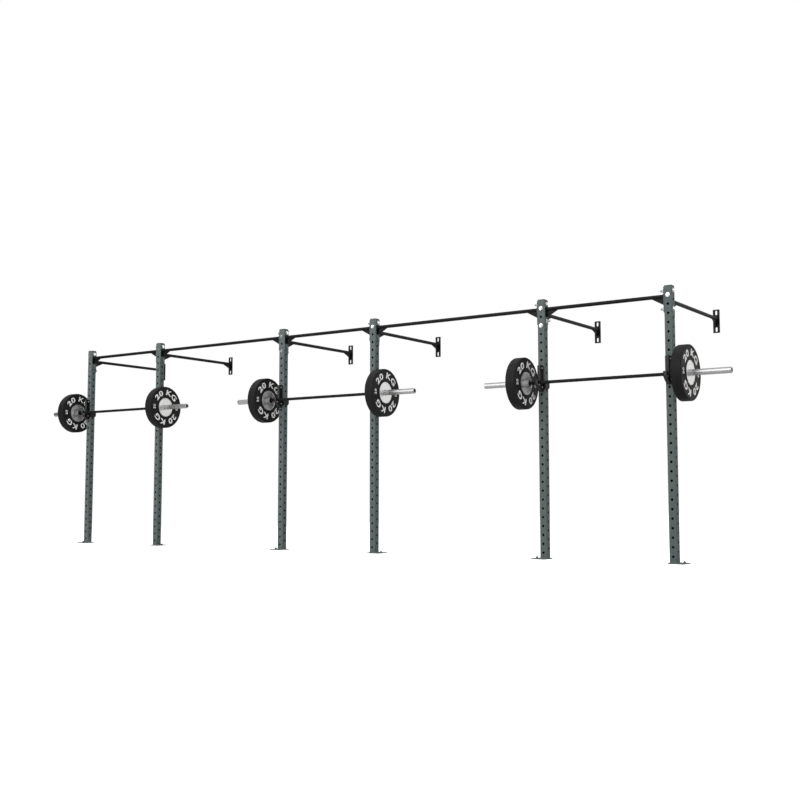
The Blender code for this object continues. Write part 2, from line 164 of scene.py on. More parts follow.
def build_sky(horizon, zenith, left_share):
    world = bpy.data.worlds.new("studio sky")
    bpy.context.scene.world = world
    tree = shader_tree(world)
    place = add(tree, "ShaderNodeTexCoord")
    split = add(tree, "ShaderNodeSeparateXYZ")
    share = fade(tree, "brighter towards the top", LOW_SKY, HIGH_SKY, horizon, zenith)
    left = fade(tree, "darker towards the left", LEFT_FROM, LEFT_FULL, 1.0, left_share)
    rise = fade(tree, "how high up", CARD_FROM, CARD_TOP)
    card = add(tree, "ShaderNodeMapRange", "dark low down only", To_Max=1.0)
    power = add(tree, "ShaderNodeMath", operation="MULTIPLY")
    lit = add(tree, "ShaderNodeBackground", "lights the steel", Color=WHITE)
    seen = add(tree, "ShaderNodeBackground", "seen by the camera", Color=WHITE, Strength=1.0)
    ray = add(tree, "ShaderNodeLightPath")
    blend = add(tree, "ShaderNodeMixShader")
    end = add(tree, "ShaderNodeOutputWorld")
    wire(tree, (place, "Generated", split, 0), (split, "Z", share, "Value"),
         (split, "X", left, "Value"), (split, "Z", rise, "Value"), (rise, "Result", card, "Value"),
         (left, "Result", card, "To Min"), (share, "Result", power, 0), (card, "Result", power, 1),
         (power, 0, lit, "Strength"), (ray, "Is Camera Ray", blend, 0), (lit, 0, blend, 1),
         (seen, 0, blend, 2), (blend, 0, end, "Surface"))


def build_floor(half, grey, dark):
    shape = bmesh.new()
    bmesh.ops.create_grid(shape, x_segments=1, y_segments=1, size=half)
    mesh = bpy.data.meshes.new("studio floor")
    shape.to_mesh(mesh)
    shape.free()
    white = bpy.data.materials.new("studio floor white")
    tree = shader_tree(white)
    place = add(tree, "ShaderNodeTexCoord")
    split = add(tree, "ShaderNodeSeparateXYZ")
    tone = fade(tree, "darker towards the left", DARK_FLOOR_FROM, DARK_FLOOR_FULL, grey, dark)
    matt = add(tree, "ShaderNodeBsdfDiffuse", Roughness=0.4)
    glow = add(tree, "ShaderNodeEmission", Strength=1.0)
    both = add(tree, "ShaderNodeAddShader")
    ray = add(tree, "ShaderNodeLightPath")
    blend = add(tree, "ShaderNodeMixShader")
    end = add(tree, "ShaderNodeOutputMaterial")
    wire(tree, (place, "Object", split, 0), (split, "X", tone, "Value"), (tone, 0, matt, "Color"),
         (matt, 0, both, 0), (glow, 0, both, 1), (ray, "Is Camera Ray", blend, 0),
         (matt, 0, blend, 1), (both, 0, blend, 2), (blend, 0, end, "Surface"))
    mesh.materials.append(white)
    floor = bpy.data.objects.new("studio_floor", mesh)
    floor.location = (0.0, 0.0, -FLOOR_SUNK)
    bpy.context.scene.collection.objects.link(floor)


build_sky(horizon=0.33, zenith=0.58, left_share=0.15)
build_floor(half=150.0, grey=0.60, dark=0.08)
bpy.context.scene.view_settings.view_transform = "Standard"
bpy.context.scene.view_settings.look = "None"
print("floor and sky made")

# %% [markdown]
# Big soft lamps shape the steel. One hangs high in front of the row and draws the light line along
# the tubes and the chrome, just below their upper edge. A smaller one helps it at the far, left end,
# where nothing mirrors it. A long, low one in front is what the bolt heads mirror. It stops short on
# the left, so the heads grow greyer along the row. Two lamps behind the right end are what the hubs
# mirror, the near one in the last plate and the far one in the plates further left. A last one lights
# the right-hand faces. Large lamps give soft edges, as softboxes do, and the camera doesn't see them.

# %% Hang the softboxes
def softbox(name, spot, aim, width, height, watts, mirrored=True):
    """A large lamp at a spot, facing the aim."""
    lamp = bpy.data.lights.new(name, "AREA")
    lamp.shape = "RECTANGLE"
    lamp.size = width
    lamp.size_y = height
    lamp.energy = watts
    holder = bpy.data.objects.new(name, lamp)
    way = Vector(aim) - Vector(spot)
    holder.location = spot
    holder.rotation_euler = way.to_track_quat("-Z", "Y").to_euler()
    holder.visible_camera = False
    holder.visible_glossy = mirrored
    bpy.context.scene.collection.objects.link(holder)


softbox("over the front", spot=(1.0, -7.0, 6.8), aim=(1.0, -0.4, 1.2), width=14.4, height=7.0, watts=350.0)
softbox("over the left end", spot=(-5.0, -8.2, 6.5), aim=(-3.4, -0.4, 1.0), width=9.0, height=6.0,
        watts=590.0, mirrored=False)
softbox("long front", spot=(-2.4, -9.5, 3.4), aim=(-1.0, 0.0, 1.6), width=10.0, height=4.0, watts=215.0)
softbox("behind the right end", spot=(8.5, 6.5, 3.2), aim=(2.0, 0.0, 2.0), width=7.0, height=4.0, watts=36.0)
softbox("far behind the right end", spot=(22.0, 20.0, 4.6), aim=(-1.0, 0.0, 1.5), width=12.0, height=7.0,
        watts=520.0)
softbox("right end", spot=(11.0, -3.0, 3.0), aim=(0.0, 0.0, 1.3), width=6.0, height=4.0, watts=88.0)
print("six softboxes hung")

# %% [markdown]
# ## From shape to piece
#
# All pieces are modelled in bmesh, because its operators are the same ones that the editor has, and
# a script can repeat them exactly. A piece that occurs six times is shaped once round its own
# origin, and `put` then copies its mesh to each place. The place goes into the mesh and not on the
# object, so that patterns in object space differ from copy to copy and never slide. All pieces are
# shaded smooth with rounded edges, and a Weighted Normal modifier makes the large faces win over the
# narrow ones beside them. Without it, a flat plate looks like a cushion.

# %% Helpers that turn a shape into a piece
MERGE_WITHIN = 1e-6
SMOOTH_UNDER = radians(32.0)


def mesh_of(shape, name):
    """A mesh from a bmesh, with doubles merged, faces pointing out and only real edges sharp."""
    bmesh.ops.remove_doubles(shape, verts=shape.verts, dist=MERGE_WITHIN)
    bmesh.ops.recalc_face_normals(shape, faces=shape.faces)
    if not shape.faces:
        raise ValueError(name + " came out empty")
    mesh = bpy.data.meshes.new(name)
    shape.to_mesh(mesh)
    shape.free()
    mesh.shade_smooth()
    mesh.set_sharp_from_angle(angle=SMOOTH_UNDER)
    return mesh


def at(x=0.0, y=0.0, z=0.0, turn=0.0):
    """A place: a turn about the upright axis and then a move."""
    return Matrix.Translation((x, y, z)) @ Matrix.Rotation(turn, 4, "Z")


def put(name, mesh, finish, where, body, slot, *stands_for):
    """One finished piece from a copy of the mesh, riding on a body."""
    mesh = mesh.copy()
    mesh.transform(where)
    mesh.materials.clear()
    mesh.materials.append(finish)
    made = bpy.data.objects.new(name, mesh)
    bpy.context.scene.collection.objects.link(made)
    flat = made.modifiers.new("large faces stay flat", "WEIGHTED_NORMAL")
    flat.keep_sharp = True
    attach(made, body)
    if stands_for:
        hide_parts(*stands_for)


def joined(*meshes):
    """One shape out of several meshes, each left whole."""
    shape = bmesh.new()
    for mesh in meshes:
        shape.from_mesh(mesh)
    return shape


# %% [markdown]
# Most of a rig is plate and tube. A plate is a cube stretched to size: first the four edges that run
# through its thickness are bevelled into round corners, then the rims of its two faces get a small
# round, as cut and painted steel has. The same helper makes boxes and pads and, with the largest
# corner that fits, round washers and slots to cut with.

# %% Helpers for plates, rods and turned parts
AXES = {"X": 0, "Y": 1, "Z": 2}
CORNER_STEPS, RIM_STEPS, OUTLINE_STEPS = 6, 2, 8
RIM_ANGLE = 1.0
SAME_LEVEL = 1e-7


def round_edges(shape, edges, size, steps):
    """Gives edges a round of one size, in a number of steps."""
    bmesh.ops.bevel(shape, geom=edges, offset=size, segments=steps, profile=0.5, affect="EDGES", material=-1)


def slab(size, centre, through, corner, rim):
    """A plate whose thickness runs along the axis called through."""
    way = AXES[through]
    half = size[way] / 2
    shape = bmesh.new()
    bmesh.ops.create_cube(shape, size=1.0)
    bmesh.ops.scale(shape, vec=size, verts=shape.verts)
    if corner:
        uprights = [edge for edge in shape.edges
                    if abs(edge.verts[0].co[way] - edge.verts[1].co[way]) > half]
        round_edges(shape, uprights, corner, CORNER_STEPS)
    if rim:
        rims = [edge for edge in shape.edges
                if all(abs(abs(vert.co[way]) - half) < SAME_LEVEL for vert in edge.verts)
                and edge.calc_face_angle(0.0) > RIM_ANGLE]
        round_edges(shape, rims, rim, RIM_STEPS)
    bmesh.ops.translate(shape, verts=shape.verts, vec=centre)
    return shape


def rod(start, end, radius, sides):
    """A round bar from one point to another."""
    way = Vector(end) - Vector(start)
    shape = bmesh.new()
    bmesh.ops.create_cone(shape, cap_ends=True, segments=sides, radius1=radius, radius2=radius,
                          depth=way.length)
    turn = way.to_track_quat("Z", "Y").to_matrix().to_4x4()
    bmesh.ops.transform(shape, matrix=Matrix.Translation(Vector(start) + way / 2) @ turn,
                        verts=shape.verts)
    return shape


def profile_in(shape, corners):
    """A closed profile of (x, radius) corners, drawn in a shape."""
    verts = [shape.verts.new((x, 0.0, radius)) for x, radius in corners]
    edges = [shape.edges.new(pair) for pair in zip(verts, verts[1:] + verts[:1])]
    return verts + edges


def spun(profile, steps):
    """A profile turned about the X axis."""
    shape = bmesh.new()
    bmesh.ops.spin(shape, geom=profile_in(shape, profile), cent=(0, 0, 0), axis=(1, 0, 0),
                   angle=2 * pi, steps=steps, use_merge=True)
    return shape


def rounded(corners):
    """A closed outline in (a, b): each corner is (a, b, how far back its round starts)."""
    shape = bmesh.new()
    verts = [shape.verts.new((a, b, 0.0)) for a, b, _ in corners]
    shape.faces.new(verts)
    for vert, (_, _, back) in zip(verts, corners):
        if back:
            bmesh.ops.bevel(shape, geom=[vert], offset=back, offset_type="OFFSET",
                            segments=OUTLINE_STEPS, profile=0.5, affect="VERTICES", material=-1)
    return shape


def swell(shape, start, end, height, cuts):
    """Bends the straight edge between two corners into a shallow curve."""
    start, end = Vector((*start, 0.0)), Vector((*end, 0.0))
    way = end - start
    out = Vector((way.y, -way.x, 0.0)).normalized() * height
    edge = min(shape.edges, key=lambda e: (e.verts[0].co + e.verts[1].co - start - end).length)
    fresh = bmesh.ops.subdivide_edges(shape, edges=[edge], cuts=cuts)["geom_inner"]
    for vert in [item for item in fresh if isinstance(item, bmesh.types.BMVert)]:
        share = (vert.co - start).length / way.length
        vert.co += out * 4 * share * (1 - share)
    return shape


def thickened(shape, thickness, rim):
    """A flat outline drawn out along its normal, with both rims rounded."""
    drawn = bmesh.ops.extrude_face_region(shape, geom=shape.faces[:])["geom"]
    tips = [item for item in drawn if isinstance(item, bmesh.types.BMVert)]
    bmesh.ops.translate(shape, verts=tips, vec=(0, 0, thickness))
    bmesh.ops.recalc_face_normals(shape, faces=shape.faces)
    if rim:
        rims = [edge for edge in shape.edges
                if len(edge.link_faces) == 2 and edge.calc_face_angle(0.0) > RIM_ANGLE
                and abs(edge.verts[0].co.z - edge.verts[1].co.z) < SAME_LEVEL]
        round_edges(shape, rims, rim, RIM_STEPS)
    return shape


def top_rim(shape, top):
    """The edges that lie at the height called top."""
    return [edge for edge in shape.edges if all(abs(vert.co.z - top) < MERGE_WITHIN for vert in edge.verts)]


def moved(shape, matrix):
    """The same shape, moved and turned as a whole."""
    bmesh.ops.transform(shape, matrix=matrix, verts=shape.verts)
    return shape


# An outline drawn in (x, y) stands up in the plane across the row, or in the plane of the row.
TO_SIDE_VIEW = Matrix(((0, 0, 1, 0), (1, 0, 0, 0), (0, 1, 0, 0), (0, 0, 0, 1)))
TO_FRONT_VIEW = Matrix(((1, 0, 0, 0), (0, 0, -1, 0), (0, 1, 0, 0), (0, 0, 0, 1)))


def cut(base, *cutters):
    """The base mesh less the cutters, as a shape, worked out by an exact Boolean."""
    scene = bpy.context.scene
    holder = bpy.data.objects.new("cut base", base)
    scene.collection.objects.link(holder)
    tools = []
    for cutter in cutters:
        tool = bpy.data.objects.new("cut tool", cutter)
        scene.collection.objects.link(tool)
        step = holder.modifiers.new("cut", "BOOLEAN")
        step.operation = "DIFFERENCE"
        step.solver = "EXACT"
        step.object = tool
        tools.append(tool)
    bpy.context.view_layer.update()
    ready = holder.evaluated_get(bpy.context.evaluated_depsgraph_get())
    shape = bmesh.new()
    shape.from_mesh(bpy.data.meshes.new_from_object(ready))
    for thing in [holder, *tools]:
        bpy.data.objects.remove(thing, do_unlink=True)
    return shape


print("shape helpers ready")

# %% [markdown]
# ## Finishes
#
# None of the surfaces is one flat colour. What several finishes share is built once as a node
# group: the orange-peel skin and soft clouds of powder coat, fine scratches, the rings a lathe
# leaves, the rub of bright metal along edges, dust that lies on what faces up, the knurl of the
# grip, and the grain of moulded rubber. A group only gives out masks and heights. The shader, with
# its fixed values, stays in each material.

# %% Helper for node groups
def new_group(name, inputs, outputs):
    """An empty group with named sockets: numbers unless the name is Vector."""
    group = bpy.data.node_groups.new(name, "ShaderNodeTree")
    for label, value in inputs.items():
        kind = "NodeSocketVector" if label == "Vector" else "NodeSocketFloat"
        socket = group.interface.new_socket(name=label, in_out="INPUT", socket_type=kind)
        if kind == "NodeSocketFloat":
            socket.default_value = value
    for label in outputs:
        group.interface.new_socket(name=label, in_out="OUTPUT", socket_type="NodeSocketFloat")
    start = group.nodes.new("NodeGroupInput")
    end = group.nodes.new("NodeGroupOutput")
    return group, start, end


def math_node(tree, operation, first=None, second=None):
    """A Math node, with values on its two sockets where they are given."""
    node = add(tree, "ShaderNodeMath", operation=operation)
    for number, value in enumerate((first, second)):
        if value is not None:
            node.inputs[number].default_value = value
    return node


# %% [markdown]
# Powder coat is sprayed on dry and melted. It keeps a skin like orange peel, about a millimetre
# from bump to bump, and its tone drifts a little over a hand's width.

# %% Group: powder coat
def powder_coat_group():
    tree, start, end = new_group("powder coat skin", {"Vector": None, "Peel": 900.0, "Cloud": 9.0},
                                 ["Skin", "Clouds", "Specks"])
    peel = add(tree, "ShaderNodeTexNoise", "orange peel", Detail=2.0, Roughness=0.45)
    cloud = add(tree, "ShaderNodeTexNoise", "slow drift", Detail=4.0, Roughness=0.6)
    speck = add(tree, "ShaderNodeTexNoise", "specks", Detail=3.0, Roughness=0.7, Scale=260.0)
    fine = add(tree, "ShaderNodeMapRange", From_Min=0.35, From_Max=0.75)
    wire(tree, (start, "Vector", peel, "Vector"), (start, "Peel", peel, "Scale"),
         (start, "Vector", cloud, "Vector"), (start, "Cloud", cloud, "Scale"),
         (start, "Vector", speck, "Vector"), (speck, 0, fine, "Value"),
         (peel, 0, end, "Skin"), (cloud, 0, end, "Clouds"), (fine, "Result", end, "Specks"))
    return tree


# %% [markdown]
# Scratches are noise stretched hard in one direction and cut off high, so that only thin lines are
# left. Two such sheets, leaning different ways, keep the lines from looking combed.

# %% Group: scratches
def scratch_group():
    tree, start, end = new_group("fine scratches", {"Vector": None, "Scale": 60.0, "Amount": 0.5}, ["Lines"])
    lines = []
    for lean in (0.5, -0.9):
        turn = add(tree, "ShaderNodeMapping")
        turn.inputs["Rotation"].default_value = (lean, 0.3, lean)
        turn.inputs["Scale"].default_value = (0.06, 1.6, 1.6)
        noise = add(tree, "ShaderNodeTexNoise", Detail=3.0, Roughness=0.55)
        thin = add(tree, "ShaderNodeMapRange", From_Min=0.63, From_Max=0.70)
        wire(tree, (start, "Vector", turn, "Vector"), (turn, 0, noise, "Vector"),
             (start, "Scale", noise, "Scale"), (noise, 0, thin, "Value"))
        lines.append(thin)
    both = math_node(tree, "MAXIMUM")
    scaled = math_node(tree, "MULTIPLY")
    wire(tree, (lines[0], "Result", both, 0), (lines[1], "Result", both, 1),
         (both, 0, scaled, 0), (start, "Amount", scaled, 1), (scaled, 0, end, "Lines"))
    return tree


# %% [markdown]
# A lathe leaves fine rings round the axis. They show on sleeves, collars and hubs as thin bands of
# brighter and duller metal. The rings are a noise that only sees the distance along the axis and
# the distance from it.

# %% Group: turned rings
def turned_group():
    tree, start, end = new_group("turned rings", {"Vector": None, "Axial": 900.0, "Radial": 900.0}, ["Rings"])
    split = add(tree, "ShaderNodeSeparateXYZ")
    y_square, z_square = math_node(tree, "MULTIPLY"), math_node(tree, "MULTIPLY")
    total, reach = math_node(tree, "ADD"), math_node(tree, "SQRT")
    along, out = math_node(tree, "MULTIPLY"), math_node(tree, "MULTIPLY")
    back = add(tree, "ShaderNodeCombineXYZ")
    noise = add(tree, "ShaderNodeTexNoise", Scale=1.0, Detail=4.0, Roughness=0.7)
    wire(tree, (start, "Vector", split, 0), (split, "Y", y_square, 0), (split, "Y", y_square, 1),
         (split, "Z", z_square, 0), (split, "Z", z_square, 1), (y_square, 0, total, 0),
         (z_square, 0, total, 1), (total, 0, reach, 0), (split, "X", along, 0), (start, "Axial", along, 1),
         (reach, 0, out, 0), (start, "Radial", out, 1), (along, 0, back, "X"), (out, 0, back, "Y"),
         (back, 0, noise, "Vector"), (noise, 0, end, "Rings"))
    return tree


# %% [markdown]
# Paint wears first where hands and steel rub on an edge. The Bevel node looks a small distance round
# each point and gives back a normal that is blurred over edges. Where it leans away from the true
# normal there is an edge close by, and noise breaks that line up into rubbed spots.

# %% Group: rubbed edges
def edge_group():
    tree, start, end = new_group("rubbed edges", {"Vector": None, "Amount": 0.5, "Scale": 45.0}, ["Rub"])
    soft = add(tree, "ShaderNodeBevel", samples=4, Radius=0.0012)
    true = add(tree, "ShaderNodeNewGeometry")
    lean = add(tree, "ShaderNodeVectorMath", operation="DOT_PRODUCT")
    edge = add(tree, "ShaderNodeMapRange", From_Min=0.995, From_Max=0.86)
    noise = add(tree, "ShaderNodeTexNoise", Detail=5.0, Roughness=0.65)
    patch = add(tree, "ShaderNodeMapRange", From_Min=0.42, From_Max=0.62)
    product, scaled = math_node(tree, "MULTIPLY"), math_node(tree, "MULTIPLY")
    wire(tree, (soft, 0, lean, 0), (true, "Normal", lean, 1), (lean, "Value", edge, "Value"),
         (start, "Vector", noise, "Vector"), (start, "Scale", noise, "Scale"), (noise, 0, patch, "Value"),
         (edge, "Result", product, 0), (patch, "Result", product, 1), (product, 0, scaled, 0),
         (start, "Amount", scaled, 1), (scaled, 0, end, "Rub"))
    return tree


# %% [markdown]
# Dust settles on what faces up. The mask takes the upward part of the normal in object space, so it
# stays where it fell when a piece moves, and cloudy noise thins it out.

# %% Group: settled dust
def dust_group():
    tree, start, end = new_group("settled dust", {"Vector": None, "Amount": 0.3, "Scale": 20.0}, ["Dust"])
    place = add(tree, "ShaderNodeTexCoord")
    split = add(tree, "ShaderNodeSeparateXYZ")
    up = add(tree, "ShaderNodeMapRange", From_Min=0.35, From_Max=1.0)
    noise = add(tree, "ShaderNodeTexNoise", Detail=6.0, Roughness=0.7)
    thin = add(tree, "ShaderNodeMapRange", From_Min=0.3, From_Max=0.8)
    product, scaled = math_node(tree, "MULTIPLY"), math_node(tree, "MULTIPLY")
    wire(tree, (place, "Normal", split, 0), (split, "Z", up, "Value"), (start, "Vector", noise, "Vector"),
         (start, "Scale", noise, "Scale"), (noise, 0, thin, "Value"), (up, "Result", product, 0),
         (thin, "Result", product, 1), (product, 0, scaled, 0), (start, "Amount", scaled, 1),
         (scaled, 0, end, "Dust"))
    return tree


# %% [markdown]
# The grip of a barbell is knurled: two sets of fine grooves cross on a slant and leave small
# diamonds. Round the bar the pattern needs the angle, not a distance in space, so the group unrolls
# the bar first. The two slanting waves are then multiplied.

# %% Group: knurl
def knurl_group():
    tree, start, end = new_group("knurl", {"Vector": None, "Radius": 0.014, "Pitch": 0.0016}, ["Diamonds"])
    split = add(tree, "ShaderNodeSeparateXYZ")
    angle = math_node(tree, "ARCTAN2")
    arc, per = math_node(tree, "MULTIPLY"), math_node(tree, "DIVIDE", 2 * pi)
    wire(tree, (start, "Vector", split, 0), (split, "Y", angle, 0), (split, "Z", angle, 1),
         (angle, 0, arc, 0), (start, "Radius", arc, 1), (start, "Pitch", per, 1))
    waves = []
    for kind in ("ADD", "SUBTRACT"):
        mix, phase, wave = math_node(tree, kind), math_node(tree, "MULTIPLY"), math_node(tree, "SINE")
        high = math_node(tree, "ABSOLUTE")
        wire(tree, (split, "X", mix, 0), (arc, 0, mix, 1), (mix, 0, phase, 0), (per, 0, phase, 1),
             (phase, 0, wave, 0), (wave, 0, high, 0))
        waves.append(high)
    crossed = math_node(tree, "MULTIPLY")
    wire(tree, (waves[0], 0, crossed, 0), (waves[1], 0, crossed, 1), (crossed, 0, end, "Diamonds"))
    return tree


# %% [markdown]
# Moulded rubber has a fine grain, a duller bloom in clouds, and pale scuffs where plates have
# rubbed on each other or on the floor.

# %% Group: rubber grain
def rubber_group():
    tree, start, end = new_group("rubber grain", {"Vector": None, "Grain": 700.0, "Scuff": 26.0},
                                 ["Grain", "Bloom", "Scuffs"])
    grain = add(tree, "ShaderNodeTexVoronoi", "grain")
    bloom = add(tree, "ShaderNodeTexNoise", "bloom", Scale=7.0, Detail=5.0, Roughness=0.65)
    rub = add(tree, "ShaderNodeTexNoise", "scuffs", Detail=7.0, Roughness=0.75)
    patch = add(tree, "ShaderNodeMapRange", From_Min=0.56, From_Max=0.72)
    wire(tree, (start, "Vector", grain, "Vector"), (start, "Grain", grain, "Scale"),
         (start, "Vector", bloom, "Vector"), (start, "Vector", rub, "Vector"), (start, "Scuff", rub, "Scale"),
         (rub, 0, patch, "Value"), (grain, 0, end, "Grain"), (bloom, 0, end, "Bloom"),
         (patch, "Result", end, "Scuffs"))
    return tree


# %% [markdown]
# Powder coat doesn't reach far into a tube. Behind the holes the steel is bare, and it is painted near
# black, darker than bare steel, as painted shade. That is what makes the holes read as black dots. The
# mask measures how far a point is from the axis of the nearest upright, in plan, and is 1 for the
# inside of the tube and 0 for its outer skin. The walls of the holes are coated, yet painted dark too,
# as painted shade. They are as far out as the tube's round corners, but lie close to the middle of a
# face, which tells them apart.

# %% Group: inside of the uprights
BARE_AND_SHADE_FROM, BARE_AND_SHADE_FULL = 0.0016, 0.0024
WALL_SHADE_FROM, WALL_SHADE_FULL = 0.0003, 0.0009
HOLE_FROM, HOLE_FULL = 0.0122, 0.0112


def tube_inside_group():
    tree, start, end = new_group("inside of the tube", {"Vector": None}, ["Bare and painted shade"])
    split = add(tree, "ShaderNodeSeparateXYZ")
    tree.links.new(start.outputs["Vector"], split.inputs[0])
    nearest = None
    for x in UPRIGHT_X:
        shift, size = math_node(tree, "SUBTRACT", None, x), math_node(tree, "ABSOLUTE")
        wire(tree, (split, "X", shift, 0), (shift, 0, size, 0))
        if nearest is not None:
            least = math_node(tree, "MINIMUM")
            wire(tree, (nearest, 0, least, 0), (size, 0, least, 1))
            size = least
        nearest = size
    back, depth = math_node(tree, "SUBTRACT", None, ROW_Y), math_node(tree, "ABSOLUTE")
    reach, narrow = math_node(tree, "MAXIMUM"), math_node(tree, "MINIMUM")
    # Painted shade: near black inside the tube, over its bare steel, and on the coated walls of the holes.
    bare = add(tree, "ShaderNodeMapRange", From_Min=HALF - BARE_AND_SHADE_FROM, From_Max=HALF - BARE_AND_SHADE_FULL)
    under = add(tree, "ShaderNodeMapRange", From_Min=HALF - WALL_SHADE_FROM, From_Max=HALF - WALL_SHADE_FULL)
    centred = add(tree, "ShaderNodeMapRange", From_Min=HOLE_FROM, From_Max=HOLE_FULL)
    wall, dark = math_node(tree, "MULTIPLY"), math_node(tree, "MAXIMUM")
    wire(tree, (split, "Y", back, 0), (back, 0, depth, 0), (nearest, 0, reach, 0), (depth, 0, reach, 1),
         (nearest, 0, narrow, 0), (depth, 0, narrow, 1), (reach, 0, bare, "Value"),
         (reach, 0, under, "Value"), (narrow, 0, centred, "Value"), (under, "Result", wall, 0),
         (centred, "Result", wall, 1), (bare, "Result", dark, 0), (wall, 0, dark, 1), (dark, 0, end, "Bare and painted shade"))
    return tree


SHARED = {
    "inside": tube_inside_group(),
    "powder": powder_coat_group(),
    "scratch": scratch_group(),
    "turned": turned_group(),
    "edge": edge_group(),
    "dust": dust_group(),
    "knurl": knurl_group(),
    "rubber": rubber_group(),
}
print("shared effects:", ", ".join(group.name for group in SHARED.values()))

# %% [markdown]
# A material here is a short chain: object coordinates, one or more shared effects, colour mixes and
# a bump, and a Principled shader at the end. The class below keeps that chain readable. `effect`
# places a group, `tint` mixes a colour over the last one by a mask, `vary` drives a plain number
# such as roughness between two values, and `bump` adds a height. The Mix node has sockets for every
# kind of data under the same names, so the ones for colour are picked by number.

# %% The finish builder
MIX_A, MIX_B, MIX_RESULT = 6, 7, 2


class Finish:
    """A material that grows by one effect at a time. Its pattern is centred on the point called about."""

    def __init__(self, name, colour, roughness, metallic=0.0, specular=0.5, about=(0, 0, 0)):
        self.base = (*colour, 1.0)
        self.colour = None
        self.normal = None
        self.material = bpy.data.materials.new(name)
        self.material.diffuse_color = self.base
        self.tree = shader_tree(self.material)
        self.shader = add(self.tree, "ShaderNodeBsdfPrincipled", Base_Color=self.base, Roughness=roughness,
                          Metallic=metallic, Specular_IOR_Level=specular)
        end = add(self.tree, "ShaderNodeOutputMaterial")
        wire(self.tree, (self.shader, 0, end, "Surface"))
        place = add(self.tree, "ShaderNodeTexCoord")
        centre = add(self.tree, "ShaderNodeMapping")
        centre.inputs["Location"].default_value = [-value for value in about]
        wire(self.tree, (place, "Object", centre, "Vector"))
        self.vector = centre.outputs[0]

    def effect(self, key, **values):
        """A shared group, fed with the pattern's coordinates."""
        node = add(self.tree, "ShaderNodeGroup", node_tree=SHARED[key])
        for name, value in values.items():
            node.inputs[name].default_value = value
        self.tree.links.new(self.vector, node.inputs["Vector"])
        return node

    def tint(self, mask, colour, share=1.0):
        """Mixes a colour in where the mask is high."""
        part = math_node(self.tree, "MULTIPLY", None, share)
        self.tree.links.new(mask, part.inputs[0])
        mix = add(self.tree, "ShaderNodeMix", data_type="RGBA", clamp_factor=True)
        self.tree.links.new(part.outputs[0], mix.inputs["Factor"])
        mix.inputs[MIX_A].default_value = self.base
        mix.inputs[MIX_B].default_value = (*colour, 1.0)
        if self.colour is not None:
            self.tree.links.new(self.colour, mix.inputs[MIX_A])
        self.colour = mix.outputs[MIX_RESULT]
        self.tree.links.new(self.colour, self.shader.inputs["Base Color"])

    def vary(self, socket, mask, low, high):
        """Drives a socket from low, where the mask is 0, to high, where it is 1."""
        span = add(self.tree, "ShaderNodeMapRange", To_Min=low, To_Max=high)
        self.tree.links.new(mask, span.inputs["Value"])
        self.tree.links.new(span.outputs["Result"], self.shader.inputs[socket])

    def bump(self, height, strength, depth):
        """Adds a height on top of the bumps that are there already."""
        node = add(self.tree, "ShaderNodeBump", Strength=strength, Distance=depth)
        self.tree.links.new(height, node.inputs["Height"])
        if self.normal is not None:
            self.tree.links.new(self.normal, node.inputs["Normal"])
        self.normal = node.outputs["Normal"]
        self.tree.links.new(self.normal, self.shader.inputs["Normal"])


print("finish builder ready")

# %% [markdown]
# The uprights are a satin slate grey with a breath of green. The pull-up bars, arms and saddles are
# satin black. The side plates of the cups are the same black, painted deeper as painted shade, and
# matt. All are powder coat, so they share the skin and differ in colour and gloss.

# %% Painted steel
PAINT_DUST = (0.42, 0.41, 0.39)
# Painted shade, over bare steel: the near black of the tube's inside and of its hole walls.
BARE_STEEL_AND_SHADE = (0.004, 0.004, 0.004)


def shade(colour, share):
    """The same colour, darker."""
    return [channel * share for channel in colour]


def painted(name, dark, light, roughness, rub_colour, rub, dust, specular, hollow=False):
    made = Finish(name, dark, roughness, specular=specular)
    coat = made.effect("powder")
    made.tint(coat.outputs["Clouds"], light)
    made.tint(coat.outputs["Specks"], shade(dark, 0.62), share=0.55)
    edge = made.effect("edge", Amount=rub)
    made.tint(edge.outputs["Rub"], rub_colour)
    fall = made.effect("dust", Amount=dust)
    made.tint(fall.outputs["Dust"], PAINT_DUST)
    # Painted shade: the inside of the tube and the walls of its holes are painted near black.
    if hollow:
        made.tint(made.effect("inside").outputs["Bare and painted shade"], BARE_STEEL_AND_SHADE)
    made.vary("Roughness", coat.outputs["Specks"], low=roughness - 0.05, high=roughness + 0.12)
    made.bump(coat.outputs["Skin"], strength=0.25, depth=0.0004)
    return made.material


SLATE = {"dark": (0.087, 0.105, 0.104), "light": (0.128, 0.154, 0.153), "roughness": 0.48,
         "rub_colour": (0.30, 0.31, 0.31), "rub": 0.5, "dust": 0.25, "specular": 0.17}
TUBE_PAINT = painted("slate grey powder coat, bare steel and painted shade inside", **SLATE, hollow=True)
GREY_PAINT = painted("slate grey powder coat", **SLATE)
BLACK_PAINT = painted("satin black powder coat", dark=(0.0042, 0.0042, 0.0044),
                      light=(0.0068, 0.0068, 0.0071), roughness=0.42, rub_colour=(0.08, 0.08, 0.08),
                      rub=0.4, dust=0.05, specular=0.18)
# Painted shade: the side plates of the cups are painted a deeper black than the saddles.
CUP_SIDE_SHADE_BLACK = painted("matt black powder coat, darkened as painted shade", dark=(0.0016, 0.0016, 0.0017), light=(0.0028, 0.0028, 0.0030),
                    roughness=0.55, rub_colour=(0.05, 0.05, 0.05), rub=0.4, dust=0.04, specular=0.10)
print("painted finishes:", GREY_PAINT.name, "/", BLACK_PAINT.name, "/", CUP_SIDE_SHADE_BLACK.name)

# %% [markdown]
# Bolt heads and washers are zinc plated: bright, with faint cloudy patches and the odd scratch. The
# nuts and the bolts in the cups are greyer, and the same greyer zinc is painted shade on the front
# heads at the left end. The floor anchors and some of the side bolts are a dull, dark zinc.

